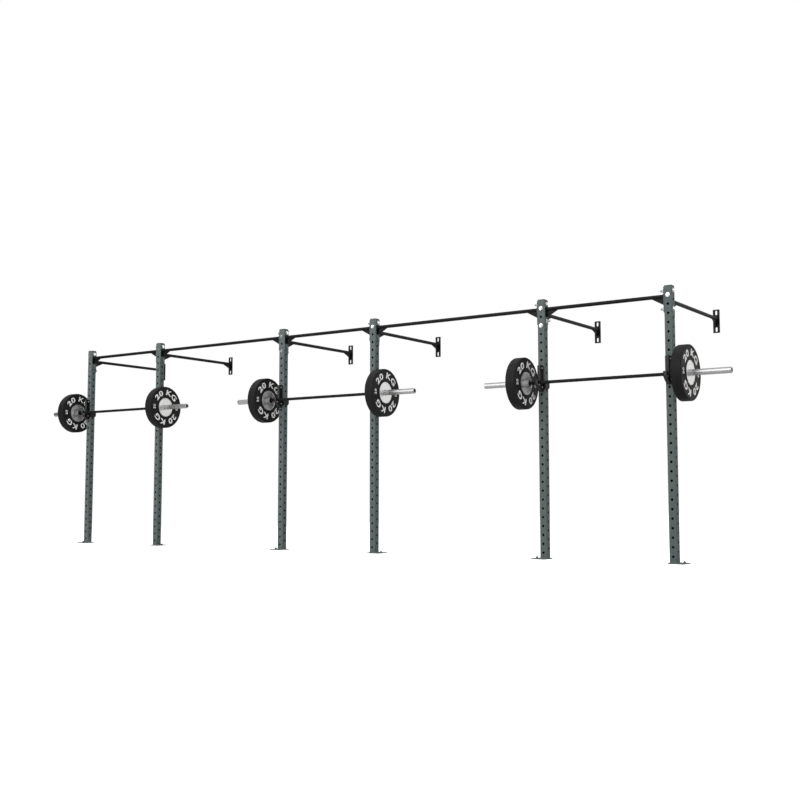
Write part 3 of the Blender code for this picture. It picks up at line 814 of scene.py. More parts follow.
# %% Plated steel
def plated(name, dark, light, roughness):
    made = Finish(name, dark, roughness, metallic=1.0)
    coat = made.effect("powder", Peel=1500.0, Cloud=70.0)
    made.tint(coat.outputs["Clouds"], light)
    lines = made.effect("scratch", Scale=220.0, Amount=0.8)
    made.tint(lines.outputs["Lines"], (0.55, 0.55, 0.56), share=0.4)
    made.vary("Roughness", coat.outputs["Clouds"], low=roughness - 0.08, high=roughness + 0.14)
    made.bump(lines.outputs["Lines"], strength=0.2, depth=0.0002)
    return made.material


SATIN_ZINC_AND_SHADE = plated("satin zinc, also painted shade", dark=(0.40, 0.405, 0.41), light=(0.54, 0.545, 0.55), roughness=0.36)
ZINC = plated("bright zinc", dark=(0.80, 0.81, 0.82), light=(0.90, 0.90, 0.89), roughness=0.28)
DULL_ZINC = plated("dull zinc", dark=(0.16, 0.165, 0.17), light=(0.24, 0.245, 0.25), roughness=0.45)
print("plated finishes:", ZINC.name, "/", SATIN_ZINC_AND_SHADE.name, "/", DULL_ZINC.name)

# %% [markdown]
# The barbell has a black oxide shaft with a knurled grip, and hard chrome sleeves. Knurl and lathe
# rings both run round the bar's axis, so their pattern is centred on it with the Mapping node.

# %% Barbell steel
BAR_AXIS = (0.0, RACK_Y, RACK_Z)


def oxide(name, knurled):
    made = Finish(name, (0.005, 0.005, 0.0054), 0.36, metallic=0.5, specular=0.25, about=BAR_AXIS)
    coat = made.effect("powder", Peel=1300.0, Cloud=30.0)
    made.tint(coat.outputs["Clouds"], (0.010, 0.010, 0.0106))
    if knurled:
        grip = made.effect("knurl")
        made.tint(grip.outputs["Diamonds"], (0.018, 0.018, 0.019), share=0.7)
        made.vary("Roughness", grip.outputs["Diamonds"], low=0.52, high=0.34)
        made.bump(grip.outputs["Diamonds"], strength=0.8, depth=0.0003)
    else:
        rings = made.effect("turned")
        made.vary("Roughness", rings.outputs["Rings"], low=0.24, high=0.46)
        made.bump(rings.outputs["Rings"], strength=0.15, depth=0.0001)
    return made.material


def chromed(name, dark, light, smooth, rough):
    made = Finish(name, dark, smooth, metallic=1.0, about=BAR_AXIS)
    rings = made.effect("turned", Axial=140.0, Radial=260.0)
    made.tint(rings.outputs["Rings"], light)
    lines = made.effect("scratch", Scale=60.0, Amount=0.5)
    made.tint(lines.outputs["Lines"], shade(dark, 0.85), share=0.3)
    made.vary("Roughness", rings.outputs["Rings"], low=smooth, high=rough)
    return made.material


GRIP = oxide("black oxide, knurled", knurled=True)
SMOOTH_OXIDE = oxide("black oxide, smooth", knurled=False)
CHROME = chromed("hard chrome", dark=(0.60, 0.60, 0.605), light=(0.66, 0.66, 0.655), smooth=0.30, rough=0.36)
HUB_STEEL = chromed("hub steel", dark=(0.66, 0.66, 0.66), light=(0.74, 0.74, 0.73), smooth=0.40, rough=0.48)
print("barbell finishes:", GRIP.name, "/", CHROME.name, "/", HUB_STEEL.name)

# %% [markdown]
# The plates are matt black rubber. The raised numbers on them are filled with white paint, a little
# worn. The cups have a core of hard black plastic, which the bar rests on, and the caps in the tubes
# are a softer moulded plastic.

# %% Rubber and plastic
RUBBER_DUST = (0.35, 0.34, 0.33)


def rubber(name, dark, light, scuff, share, roughness=0.55, specular=0.19, dust=0.12):
    made = Finish(name, dark, roughness, specular=specular, about=BAR_AXIS)
    skin = made.effect("rubber")
    made.tint(skin.outputs["Bloom"], light)
    made.tint(skin.outputs["Scuffs"], scuff, share)
    fall = made.effect("dust", Amount=dust)
    made.tint(fall.outputs["Dust"], RUBBER_DUST)
    made.vary("Roughness", skin.outputs["Bloom"], low=roughness - 0.10, high=roughness + 0.15)
    made.bump(skin.outputs["Grain"], strength=0.25, depth=0.0003)
    return made.material


RUBBER = rubber("bumper rubber", dark=(0.0054, 0.0054, 0.0057), light=(0.0100, 0.0100, 0.0104),
                scuff=(0.028, 0.028, 0.029), share=0.4)
WHITE_FILL = rubber("white number fill", dark=(0.90, 0.90, 0.89), light=(0.97, 0.97, 0.96),
                    scuff=(0.60, 0.60, 0.59), share=0.20)
CORE_PLASTIC = rubber("cup core plastic", dark=(0.034, 0.034, 0.035), light=(0.052, 0.052, 0.053),
                      scuff=(0.090, 0.090, 0.091), share=0.5, roughness=0.50)
CAP_PLASTIC = rubber("cap plastic", dark=(0.0045, 0.0045, 0.0048), light=(0.0080, 0.0080, 0.0085),
                     scuff=(0.020, 0.020, 0.021), share=0.4, specular=0.14, dust=0.05)
print("rubber and plastic finishes made")

# %% [markdown]
# ## Uprights
#
# An upright is a square tube, 65 mm wide with a 3 mm wall. Each face has a row of 21.5 mm holes,
# 75 mm apart, that goes right through, and the side row sits half a pitch higher than the front row.
# The holes are the character of the rig, and the tube behind them is dark and hollow, so they are
# really cut: one Boolean takes away the inside of the tube, another all 58 rods at once.

# %% Punch the tube
HOLE_PITCH = 0.075
HOLE_ROWS = 29
HOLE_RADIUS = 0.01075
LOWEST_HOLE = 0.056
HOLE_SIDES = 24
TUBE_WALL = 0.003
TUBE_CORNER, INNER_CORNER = 0.005, 0.0025
OPEN_ENDS = 0.1
FOOT_THICK = 0.008


def tube_mesh():
    length = TUBE_TOP - FOOT_THICK
    centre = (0.0, 0.0, FOOT_THICK + length / 2)
    inside = TUBE - 2 * TUBE_WALL
    outer = mesh_of(slab((TUBE, TUBE, length), centre, "Z", corner=TUBE_CORNER, rim=0), "tube")
    within = slab((inside, inside, length + OPEN_ENDS), centre, "Z", corner=INNER_CORNER, rim=0)
    rods = []
    for row in range(HOLE_ROWS):
        front = LOWEST_HOLE + row * HOLE_PITCH
        side = front + HOLE_PITCH / 2
        for start in ((0, -TUBE, front), (-TUBE, 0, side)):
            end = (-start[0], -start[1], start[2])
            rods.append(mesh_of(rod(start, end, HOLE_RADIUS, HOLE_SIDES), "hole"))
    punched = cut(outer, mesh_of(within, "hollow"), mesh_of(joined(*rods), "holes"))
    return mesh_of(punched, "punched tube")


PUNCHED_TUBE = tube_mesh()
print("punched tube:", len(PUNCHED_TUBE.polygons), "faces")

# %% [markdown]
# The tube is welded to a foot plate, which is longer on the side away from the cell's middle and
# bolted down there. The weld is a small fillet all round: a slab a little wider than the tube,
# whose upper rim is bevelled nearly to nothing, gives it in a few steps.

# %% Foot plate, weld and anchor bolt
FOOT_LONG, FOOT_DEEP = 0.134, 0.159
FOOT_CORNER, FOOT_RIM = 0.010, 0.0008
FOOT_BEAD, FOOT_BEAD_HIGH, FOOT_BEAD_SLOPE = 0.004, 0.005, 0.00425
ANCHOR_X = HALF - FOOT_LONG + 0.0215
ANCHOR_HOLE = 0.007
ANCHOR_WASHER = (0.0025, 0.026, 0.026)
ANCHOR_HEX, ANCHOR_HEX_TOP = 0.019, 0.0105
STUD_RADIUS, STUD_FOOT, STUD_TOP, STUD_TIP = 0.006, -0.008, 0.016, 0.001
HEX_FACE, HEX_SLOPE = 0.47, 0.577
SHORT_OF_ROUND = 0.00001


def foot_mesh():
    centre = (HALF - FOOT_LONG / 2, 0.0, FOOT_THICK / 2)
    plate = slab((FOOT_LONG, FOOT_DEEP, FOOT_THICK), centre, "Z", corner=FOOT_CORNER, rim=FOOT_RIM)
    hole = rod((ANCHOR_X, 0, -0.02), (ANCHOR_X, 0, 0.03), ANCHOR_HOLE, HOLE_SIDES)
    return mesh_of(cut(mesh_of(plate, "foot"), mesh_of(hole, "anchor hole")), "foot plate")


def foot_weld_mesh():
    """A low slab round the tube, whose top rim leans in to the tube."""
    width = TUBE + 2 * FOOT_BEAD
    centre = (0, 0, FOOT_THICK + FOOT_BEAD_HIGH / 2)
    shape = slab((width, width, FOOT_BEAD_HIGH), centre, "Z", corner=TUBE_CORNER + FOOT_BEAD, rim=0)
    round_edges(shape, top_rim(shape, FOOT_THICK + FOOT_BEAD_HIGH), FOOT_BEAD_SLOPE, steps=3)
    return mesh_of(shape, "weld")


def hexagon(width, start, end):
    """A hexagon bar along X. A cone takes its outer corners off, as a lathe does."""
    bar = mesh_of(rod((start, 0, 0), (end, 0, 0), width / sqrt(3), sides=6), "hexagon")
    face, past, back = width * HEX_FACE, 0.001, 0.003
    outside = face + back / HEX_SLOPE
    ring = [(end + past, face - past / HEX_SLOPE), (end - back, outside), (end + past, outside)]
    return cut(bar, mesh_of(spun(ring, steps=48), "corner cutter"))


def disc(size, x, rim):
    """A washer at x: a slab whose corners are as round as they can be."""
    return mesh_of(slab(size, (x, 0, 0), "X", corner=size[1] / 2 - SHORT_OF_ROUND, rim=rim), "washer")


def anchor_mesh():
    thick = ANCHOR_WASHER[0]
    head = mesh_of(hexagon(ANCHOR_HEX, thick, ANCHOR_HEX_TOP), "anchor head")
    stud = spun([(STUD_FOOT, 0.0), (STUD_FOOT, STUD_RADIUS), (STUD_TOP - STUD_TIP, STUD_RADIUS),
                 (STUD_TOP, STUD_RADIUS - STUD_TIP), (STUD_TOP, 0.0)], steps=24)
    whole = joined(disc(ANCHOR_WASHER, thick / 2, rim=0.0005), head, mesh_of(stud, "stud"))
    return mesh_of(moved(whole, Matrix.Rotation(-pi / 2, 4, "Y")), "anchor")


FOOT = foot_mesh()
FOOT_WELD = foot_weld_mesh()
ANCHOR = anchor_mesh()
print("foot plate", len(FOOT.polygons), "faces, anchor", len(ANCHOR.polygons), "faces")

# %% [markdown]
# A push-in plastic cap closes the tube. Its rim covers the cut edge of the steel, and its flat top
# has a soft edge all round.

# %% Cap and placement of the uprights
CAP_RISE, CAP_CORNER, CAP_SOFT = 0.0045, 0.0055, 0.0018


def cap_mesh():
    foot = TUBE_TOP + FIT_GAP
    shape = slab((TUBE, TUBE, CAP_RISE), (0, 0, foot + CAP_RISE / 2), "Z", corner=CAP_CORNER, rim=0)
    round_edges(shape, top_rim(shape, foot + CAP_RISE), CAP_SOFT, steps=4)
    return mesh_of(shape, "cap")


CAP = cap_mesh()
for number, x in enumerate(UPRIGHT_X, start=1):
    here = at(x, ROW_Y, 0.0, 0.0 if number % 2 else pi)
    node = f"upright_{number}"
    put(f"upright_tube_{number}", PUNCHED_TUBE, TUBE_PAINT, here, "rig", "upright_paint", node)
    put(f"upright_foot_{number}", FOOT, GREY_PAINT, here, "rig", "upright_paint", node)
    put(f"upright_weld_{number}", FOOT_WELD, GREY_PAINT, here, "rig", "upright_paint", node)
    put(f"tube_cap_{number}", CAP, CAP_PLASTIC, here, "rig", "cap_plastic", f"end_cap_{number}")
    anchor_spot = here @ at(ANCHOR_X, 0, FOOT_THICK)
    put(f"floor_anchor_{number}", ANCHOR, DULL_ZINC, anchor_spot, "rig", "hub_steel")
print("uprights placed at x =", [round(x, 3) for x in UPRIGHT_X])

# %% [markdown]
# ## Pull-up bars
#
# A pull-up bar is a round tube between two uprights. Each end has a flange, bolted flat against the
# upright and painted like it, then a black pad that the tube is welded to, and a straight gusset
# underneath. One end is modelled at the origin, looking along +X. The bar is that end, the same end
# turned round, and a tube between them.

# %% One end of a bar
BAR_RADIUS = 0.016
FLANGE = (0.006, 0.060, 0.210)
FLANGE_DROP = FLANGE[2] / 2 - FLANGE_RISE
BOLT_RISE = HOLE_PITCH
BOLT_HOLE = 0.009
PAD = (0.006, 0.058, 0.085)
PAD_TOP = BAR_RADIUS + 0.0015
GUSSET_THICK, GUSSET_BITE = 0.008, 0.001
BAR_GUSSET_LONG, BAR_GUSSET_HIGH = 0.103, 0.057
BEAD = [(-0.0005, -0.001), (-0.0005, 0.0042), (0.0008, 0.0042), (0.0024, 0.0030), (0.0036, 0.0014),
        (0.0044, -0.0005)]


def flange_mesh():
    """The bolted plate: it stands on x = 0 and its middle is a drop below the bar."""
    plate = slab(FLANGE, (FLANGE[0] / 2, 0, -FLANGE_DROP), "X", corner=0.006, rim=0.0006)
    holes = [mesh_of(rod((-0.01, 0, z), (0.02, 0, z), BOLT_HOLE, HOLE_SIDES), "bolt hole")
             for z in (-FLANGE_DROP - BOLT_RISE, -FLANGE_DROP + BOLT_RISE)]
    return mesh_of(cut(mesh_of(plate, "flange"), *holes), "flange")


def gusset_mesh(start, length, height):
    """The web under a bar, against the plate whose face is at x = start."""
    root, tip = start - GUSSET_BITE, start + length
    top, under = -BAR_RADIUS / 2, -BAR_RADIUS
    outline = rounded([(root, top, 0), (root, under - height, 0), (tip, under, 0), (tip, top, 0)])
    web = thickened(outline, GUSSET_THICK, rim=0.0009)
    return mesh_of(moved(web, TO_FRONT_VIEW @ at(z=-GUSSET_THICK / 2)), "gusset")


def tube_weld(x):
    """The bead round a tube where it meets a plate at x."""
    return mesh_of(spun([(x + along, BAR_RADIUS + out) for along, out in BEAD], steps=48), "tube weld")


FLANGE_PLATE = flange_mesh()
pad_centre = (FLANGE[0] + PAD[0] / 2, 0, PAD_TOP - PAD[2] / 2)
BAR_PAD = mesh_of(slab(PAD, pad_centre, "X", corner=0.004, rim=0.0008), "pad")
BAR_GUSSET = gusset_mesh(FLANGE[0] + PAD[0], BAR_GUSSET_LONG, BAR_GUSSET_HIGH)
BAR_WELD = tube_weld(FLANGE[0] + PAD[0])
print("flange", len(FLANGE_PLATE.polygons), "faces, gusset", len(BAR_GUSSET.polygons), "faces")

# %% Place the five pull-up bars
def round_tube(start, end):
    return mesh_of(rod(start, end, BAR_RADIUS, sides=48), "round tube")


def both_ends(mesh, half):
    """The mesh at the left end of a bar, and turned round at the right end."""
    left, right = mesh.copy(), mesh.copy()
    left.transform(at(-half))
    right.transform(at(half, turn=pi))
    return mesh_of(joined(left, right), "both ends")


for number, (left, right) in enumerate(zip(UPRIGHT_X, UPRIGHT_X[1:]), start=1):
    here = at((left + right) / 2, ROW_Y, BAR_Z)
    half = (right - left) / 2 - HALF - FIT_GAP
    node = f"pull_up_bar_{number}"
    tube = round_tube((FLANGE[0] - half, 0, 0), (half - FLANGE[0], 0, 0))
    ends = [both_ends(part, half) for part in (BAR_PAD, BAR_GUSSET, BAR_WELD)]
    black = mesh_of(joined(tube, *ends), "pull-up tube")
    put(f"pull_up_tube_{number}", black, BLACK_PAINT, here, "rig", "black_paint", node)
    flanges = both_ends(FLANGE_PLATE, half)
    put(f"pull_up_flanges_{number}", flanges, GREY_PAINT, here, "rig", "upright_paint", node)
print("five pull-up bars placed at z =", round(BAR_Z, 4))

# %% [markdown]
# ## Wall arms
#
# Each upright is held off the wall by an arm of the same tube. Its near end has the same flange.
# Its far end has a plate with two upright slots, so that the wall bolts need not be exact. The
# slots are cut with slabs whose corners are as round as they can be.

# %% Arms
WALL_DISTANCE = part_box("wall_arm_1")[1].y - ROW_Y
WALL_PLATE = (0.008, 0.060, 0.210)
WALL_DROP = WALL_PLATE[2] / 2 - WALL_PLATE_RISE
SLOT = (0.05, 0.019, 0.040)
SLOT_RISE = 0.075
ARM_GUSSET_LONG, NEAR_GUSSET_HIGH, FAR_GUSSET_HIGH = 0.114, 0.053, 0.050


def wall_plate_mesh():
    plate = slab(WALL_PLATE, (WALL_PLATE[0] / 2, 0, -WALL_DROP), "X", corner=0.005, rim=0.0008)
    corner = SLOT[1] / 2 - SHORT_OF_ROUND
    slots = [mesh_of(slab(SLOT, (0, 0, z), "X", corner=corner, rim=0), "slot")
             for z in (-WALL_DROP - SLOT_RISE, -WALL_DROP + SLOT_RISE)]
    return mesh_of(cut(mesh_of(plate, "wall plate"), *slots), "wall plate")


near = at(0, HALF + FIT_GAP, 0, pi / 2)
far = at(0, WALL_DISTANCE, 0, -pi / 2)
arm_parts = [round_tube((0, HALF + FLANGE[0], 0), (0, WALL_DISTANCE - WALL_PLATE[0], 0))]
for where, mesh in (
    (near, gusset_mesh(FLANGE[0], ARM_GUSSET_LONG, NEAR_GUSSET_HIGH)),
    (near, tube_weld(FLANGE[0])),
    (far, wall_plate_mesh()),
    (far, gusset_mesh(WALL_PLATE[0], ARM_GUSSET_LONG, FAR_GUSSET_HIGH)),
    (far, tube_weld(WALL_PLATE[0])),
):
    mesh.transform(where)
    arm_parts.append(mesh)
ARM = mesh_of(joined(*arm_parts), "wall arm")
NEAR_FLANGE = FLANGE_PLATE.copy()
NEAR_FLANGE.transform(near)
for number, x in enumerate(UPRIGHT_X, start=1):
    here = at(x, ROW_Y, ARM_Z)
    node = f"wall_arm_{number}"
    put(f"arm_to_wall_{number}", ARM, BLACK_PAINT, here, "rig", "black_paint", node)
    put(f"arm_flange_{number}", NEAR_FLANGE, GREY_PAINT, here, "rig", "upright_paint", node)
print("six arms reach", round(WALL_DISTANCE, 3), "m to the wall")

# %% [markdown]
# ## Bolts
#
# Long bolts go right through the tube and clamp the flanges on both sides. A head is a hexagon with
# its corners turned off, on a round washer. The thread that sticks out of the nut is a real helix: a
# small ridge is spun about the bolt's axis and carried along it at the same time, which the spin
# operator does when it is given a shift. Not all bolts are alike: the left end has greyer ones in
# front, whose grey is painted shade, the lower side bolts of the first four uprights are dull and
# shorter, and the one in the fifth was put in from the other side.

# %% Through bolts
BOLT_RADIUS = 0.0078
WASHER = (0.003, 0.036, 0.036)
HEX_WIDTH, HEAD_HIGH, NUT_HIGH = 0.024, 0.0085, 0.013
LONG_TAIL, SHORT_TAIL, BARE_TIP = 0.018, 0.006, 0.002
TIP_LONG, TIP_DEEP = 0.0015, 0.0012
THREAD_PITCH = 0.002
THREAD_SUNK, THREAD_PROUD, THREAD_SHARE = 0.0004, 0.0007, 0.84
THREAD_STEPS = 16
THREAD_IN_NUT = 0.0005
UNSHADED_FRONT_FROM, BRIGHT_SIDE_FROM, PUT_IN_FROM_LEFT = 4, 5, 5


def washer(x):
    return disc(WASHER, x, rim=0.0006)


def thread(start, turns):
    """A helical ridge from x = start, running to -X. Its foot takes up a share of the pitch."""
    shape = bmesh.new()
    half = THREAD_PITCH * THREAD_SHARE / 2
    root, crest = BOLT_RADIUS - THREAD_SUNK, BOLT_RADIUS + THREAD_PROUD
    ridge = profile_in(shape, [(start - half, root), (start, crest), (start + half, root)])
    bmesh.ops.spin(shape, geom=ridge, cent=(0, 0, 0), axis=(1, 0, 0), angle=2 * pi * turns,
                   dvec=(-THREAD_PITCH / THREAD_STEPS, 0, 0), steps=THREAD_STEPS * turns, use_merge=False)
    ends = [edge for edge in shape.edges if edge.is_boundary]
    bmesh.ops.holes_fill(shape, edges=ends, sides=4)
    return mesh_of(shape, "thread")


def bolt_meshes(head_seat, nut_seat, tail=LONG_TAIL):
    """Head and washers, then shank and nut, of a bolt along X. Its washers seat on the two x given."""
    face, under = head_seat + WASHER[0], nut_seat - WASHER[0]
    end = under - NUT_HIGH - tail
    head = mesh_of(hexagon(HEX_WIDTH, face, face + HEAD_HIGH), "head")
    nut = hexagon(HEX_WIDTH, -under, -under + NUT_HIGH)
    nut = mesh_of(moved(nut, at(turn=pi)), "nut")
    shank = spun([(end, 0.0), (end, BOLT_RADIUS - TIP_DEEP), (end + TIP_LONG, BOLT_RADIUS),
                  (face, BOLT_RADIUS), (face, 0.0)], steps=24)
    ridge = thread(under - NUT_HIGH + THREAD_IN_NUT, int((tail - BARE_TIP) / THREAD_PITCH))
    washers = [washer(head_seat + WASHER[0] / 2), washer(nut_seat - WASHER[0] / 2)]
    return (mesh_of(joined(head, *washers), "bolt head"),
            mesh_of(joined(nut, mesh_of(shank, "shank"), ridge), "bolt shank and nut"))


def put_bolt(side, label, meshes, finish, where):
    """The head as one piece in its finish, and the shank with its nut as another, never brighter."""
    nut_finish = finish if finish is DULL_ZINC else SATIN_ZINC_AND_SHADE
    put(f"{side}_bolt_{label}", meshes[0], finish, where, "rig", "hub_steel")
    put(f"{side}_nut_{label}", meshes[1], nut_finish, where, "rig", "hub_steel")


on_tube, on_flange = HALF, HALF + FIT_GAP + FLANGE[0]
SIDE_HEIGHTS = [BAR_Z - FLANGE_DROP + BOLT_RISE, BAR_Z - FLANGE_DROP - BOLT_RISE]
for number, x in enumerate(UPRIGHT_X, start=1):
    head_seat = on_tube if number == COUNT else on_flange
    nut_seat = -on_tube if number == 1 else -on_flange
    put_bolt("side", f"{number}_upper", bolt_meshes(head_seat, nut_seat), ZINC, at(x, ROW_Y, SIDE_HEIGHTS[0]))
    if number == PUT_IN_FROM_LEFT:
        meshes, where = bolt_meshes(-nut_seat, -head_seat), at(x, ROW_Y, SIDE_HEIGHTS[1], pi)
    else:
        tail = LONG_TAIL if number == COUNT else SHORT_TAIL
        meshes, where = bolt_meshes(head_seat, nut_seat, tail), at(x, ROW_Y, SIDE_HEIGHTS[1])
    put_bolt("side", f"{number}_lower", meshes, ZINC if number >= BRIGHT_SIDE_FROM else DULL_ZINC, where)
FRONT_BOLT = bolt_meshes(on_tube, -on_flange)
FRONT_HEIGHTS = {"upper": ARM_Z - FLANGE_DROP + BOLT_RISE, "lower": ARM_Z - FLANGE_DROP - BOLT_RISE}
for number, x in enumerate(UPRIGHT_X, start=1):
    # Painted shade: the front heads of the first three uprights get the greyer zinc.
    finish = ZINC if number >= UNSHADED_FRONT_FROM else SATIN_ZINC_AND_SHADE
    for label in ("upper", "lower") if number % 2 else ("upper",):
        where = at(x, ROW_Y, FRONT_HEIGHTS[label], -pi / 2)
        put_bolt("front", f"{number}_{label}", FRONT_BOLT, finish, where)
print("bolt:", sum(len(mesh.polygons) for mesh in FRONT_BOLT), "faces")

# %% [markdown]
# ## Racking cups
#
# A cup hooks into the upright: a pin goes through one of the front holes, and a bent steel saddle
# grips the tube's sides lower down. Two steel side plates hold a plastic core between them, and the
# core stands a little proud, so that the bar only ever touches plastic. The side view is drawn
# once as an outline with a round at each corner. The belly is a straight edge bent outwards.

# %% Cup side view
SHAFT_RADIUS = 0.014
SEAT = SHAFT_RADIUS + FIT_GAP
CUP_BACK = ROW_Y - HALF - RACK_Y - FIT_GAP
CUP_TOP, HEEL_LOW = 0.1525, -0.0775
LIP_TOP, TOE_LOW = 0.024, -0.0105
LIP_FRONT = -SEAT - 0.0185
BELLY, BELLY_CUTS = 0.0105, 12


def cup_outline(setback):
    """The side view, with the bar's axis at the origin and the upright to the right."""
    seat, lip = SEAT + setback, LIP_TOP - setback
    heel, toe = (CUP_BACK, HEEL_LOW), (LIP_FRONT, TOE_LOW)
    shape = rounded([
        (CUP_BACK, CUP_TOP, 0.001),
        (seat, CUP_TOP, 0.006),
        (seat, -seat, seat * 0.998),
        (-seat, -seat, seat * 0.998),
        (-seat, lip, 0.003),
        (LIP_FRONT, lip, 0.003),
        (*toe, 0.0),
        (*heel, 0.001),
    ])
    return swell(shape, toe, heel, BELLY, BELLY_CUTS)


def upright_slice(outline, low, high, rim):
    """The side view as a plate between two x values."""
    solid = thickened(outline, high - low, rim)
    return mesh_of(moved(solid, at(low) @ TO_SIDE_VIEW), "cup slice")


CORE_HALF = 0.0125
CUP_STEEL = 0.005
STEEL_IN = CORE_HALF + FIT_GAP
STEEL_OUT = STEEL_IN + CUP_STEEL
STEEL_SETBACK = 0.002
cup_sides = [upright_slice(cup_outline(STEEL_SETBACK), low, high, rim=0.0007)
             for low, high in ((-STEEL_OUT, -STEEL_IN), (STEEL_IN, STEEL_OUT))]
CUP_SIDES = mesh_of(joined(*cup_sides), "cup sides")
print("cup side plates:", len(CUP_SIDES.polygons), "faces")

# %% [markdown]
# The saddle is one strip of steel folded into a channel. In plan it is a U with round outer folds,
# drawn out along Z, and its lower rear corners are cut off at a slant. Above it a block, held between
# the side plates, carries a round pin with a rounded tip. The core has room cut out for both.

# %% Saddle, block, pin and core
SADDLE_TOP, SADDLE_LOW = 0.008, -0.050
TUBE_BACK = ROW_Y + HALF - RACK_Y
PAST_TUBE = 0.012
SADDLE_TAIL = TUBE_BACK + PAST_TUBE
SLANT = 0.018
PIN_Z, PIN_RADIUS = 0.1275, 0.0085
BLOCK = (2 * STEEL_IN + 0.002, 0.014, 0.042)


def saddle_mesh():
    inner, outer = HALF + FIT_GAP, HALF + FIT_GAP + CUP_STEEL
    front, tail = CUP_BACK - CUP_STEEL, SADDLE_TAIL
    plan = rounded([
        (-outer, front, 0.007), (outer, front, 0.007), (outer, tail, 0.0), (inner, tail, 0.0),
        (inner, CUP_BACK, 0.003), (-inner, CUP_BACK, 0.003), (-inner, tail, 0.0), (-outer, tail, 0.0),
    ])
    shape = moved(thickened(plan, SADDLE_TOP - SADDLE_LOW, rim=0.0007), at(z=SADDLE_LOW))
    whole = shape.verts[:] + shape.edges[:] + shape.faces[:]
    bmesh.ops.bisect_plane(shape, geom=whole, plane_co=(0, tail - SLANT, SADDLE_LOW),
                           plane_no=(0, 1, -1), clear_outer=True)
    bmesh.ops.holes_fill(shape, edges=[edge for edge in shape.edges if edge.is_boundary])
    return mesh_of(shape, "saddle")


def pin_mesh():
    start, end = CUP_BACK - BLOCK[1] / 2, TUBE_BACK + PAST_TUBE
    block = slab(BLOCK, (0, start, PIN_Z), "Y", corner=0.001, rim=0.0006)
    bar = spun([(start, 0.0), (start, PIN_RADIUS), (end - 0.003, PIN_RADIUS),
                (end - 0.001, PIN_RADIUS - 0.0009), (end, PIN_RADIUS - 0.0025), (end, 0.0)], steps=32)
    moved(bar, at(0, 0, PIN_Z, pi / 2))
    return mesh_of(joined(mesh_of(block, "block"), mesh_of(bar, "pin")), "pin and block")


def room_for(depth, height, z):
    """What the core loses at its back, so that a piece of this depth and height fits in."""
    deep, past = depth + FIT_GAP, 0.005
    size = (2 * CORE_HALF + 0.003, deep + past, height + 2 * FIT_GAP)
    centre = (0, CUP_BACK - deep + size[1] / 2, z)
    return mesh_of(slab(size, centre, "Y", corner=0, rim=0), "room")


def core_mesh():
    whole = upright_slice(cup_outline(0.0), -CORE_HALF, CORE_HALF, rim=0.0008)
    for_saddle = room_for(CUP_STEEL, SADDLE_TOP - SADDLE_LOW, (SADDLE_TOP + SADDLE_LOW) / 2)
    return mesh_of(cut(whole, for_saddle, room_for(BLOCK[1], BLOCK[2], PIN_Z)), "cup core")


SADDLE, PIN, CORE = saddle_mesh(), pin_mesh(), core_mesh()
print("saddle", len(SADDLE.polygons), "pin", len(PIN.polygons), "core", len(CORE.polygons), "faces")

# %% [markdown]
# Three dome-headed bolts go across each cup and clamp its sides to the core, one in the block at
# the top and two in the foot. A dome is a profile of a few corners spun about the bolt's axis, with
# a hexagon socket sunk into it.

# %% Cup bolts, and the six cups in place
CUP_BOLTS = [(0.039, PIN_Z), (0.039, -0.0365), (-0.018, -0.0185)]
DOME = [(-0.001, 0.0), (-0.001, 0.0075), (0.0010, 0.0075), (0.0026, 0.0065), (0.0038, 0.0044), (0.0042, 0.0)]
SOCKET_FLOOR, SOCKET_RADIUS = 0.0018, 0.0028


def dome_bolt(y, z):
    head = spun([(STEEL_OUT + rise, radius) for rise, radius in DOME], steps=32)
    socket = rod((STEEL_OUT + SOCKET_FLOOR, 0, 0), (STEEL_OUT + 0.01, 0, 0), SOCKET_RADIUS, sides=6)
    right = mesh_of(cut(mesh_of(head, "dome"), mesh_of(socket, "socket")), "dome head")
    left = right.copy()
    left.transform(at(turn=pi))
    return mesh_of(moved(joined(right, left), at(0, y, z)), "dome bolt")


DOMES = mesh_of(joined(*[dome_bolt(y, z) for y, z in CUP_BOLTS]), "cup bolts")
for number, x in enumerate(UPRIGHT_X, start=1):
    here = at(x, RACK_Y, RACK_Z)
    node = f"cup_frame_{number}"
    put(f"cup_sides_{number}", CUP_SIDES, CUP_SIDE_SHADE_BLACK, here, "rig", "black_paint", node)
    put(f"cup_saddle_{number}", SADDLE, BLACK_PAINT, here, "rig", "black_paint", node)
    put(f"cup_pin_{number}", PIN, SMOOTH_OXIDE, here, "rig", "black_paint", node)
    put(f"cup_bolts_{number}", DOMES, SATIN_ZINC_AND_SHADE, here, "rig", "hub_steel")
    put(f"cup_liner_{number}", CORE, CORE_PLASTIC, here, "rig", "core_plastic", f"cup_core_{number}")
print("six cups placed at z =", round(RACK_Z, 4))

# %% [markdown]
# ## Barbells
#
# The shaft is 28 mm thick and runs from end to end inside the sleeves. Between them it is knurled,
# apart from two narrow rings that mark where hands go, and a smooth stretch on either side of the
# middle. The knurl is far too fine to model, so it is a bump. The smooth bands are pieces of their
# own, so that each stretch has one finish. They are a little thinner, as on a real shaft, where the
# knurl stands up from the steel.

# %% Shaft
COLLAR_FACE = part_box("sleeve_1_right")[0].x - CELL_X[0]
SHAFT_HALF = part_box("barbell_shaft_1")[1].x - CELL_X[0]
MARK, MARK_WIDTH = 0.405, 0.006
SMOOTH_FROM, SMOOTH_TO = 0.060, 0.200
IN_COLLAR = 0.02
SMOOTH_RADIUS, MARK_RADIUS, INNER_RADIUS = SHAFT_RADIUS - 0.0002, SHAFT_RADIUS - 0.0004, SHAFT_RADIUS - 0.0001


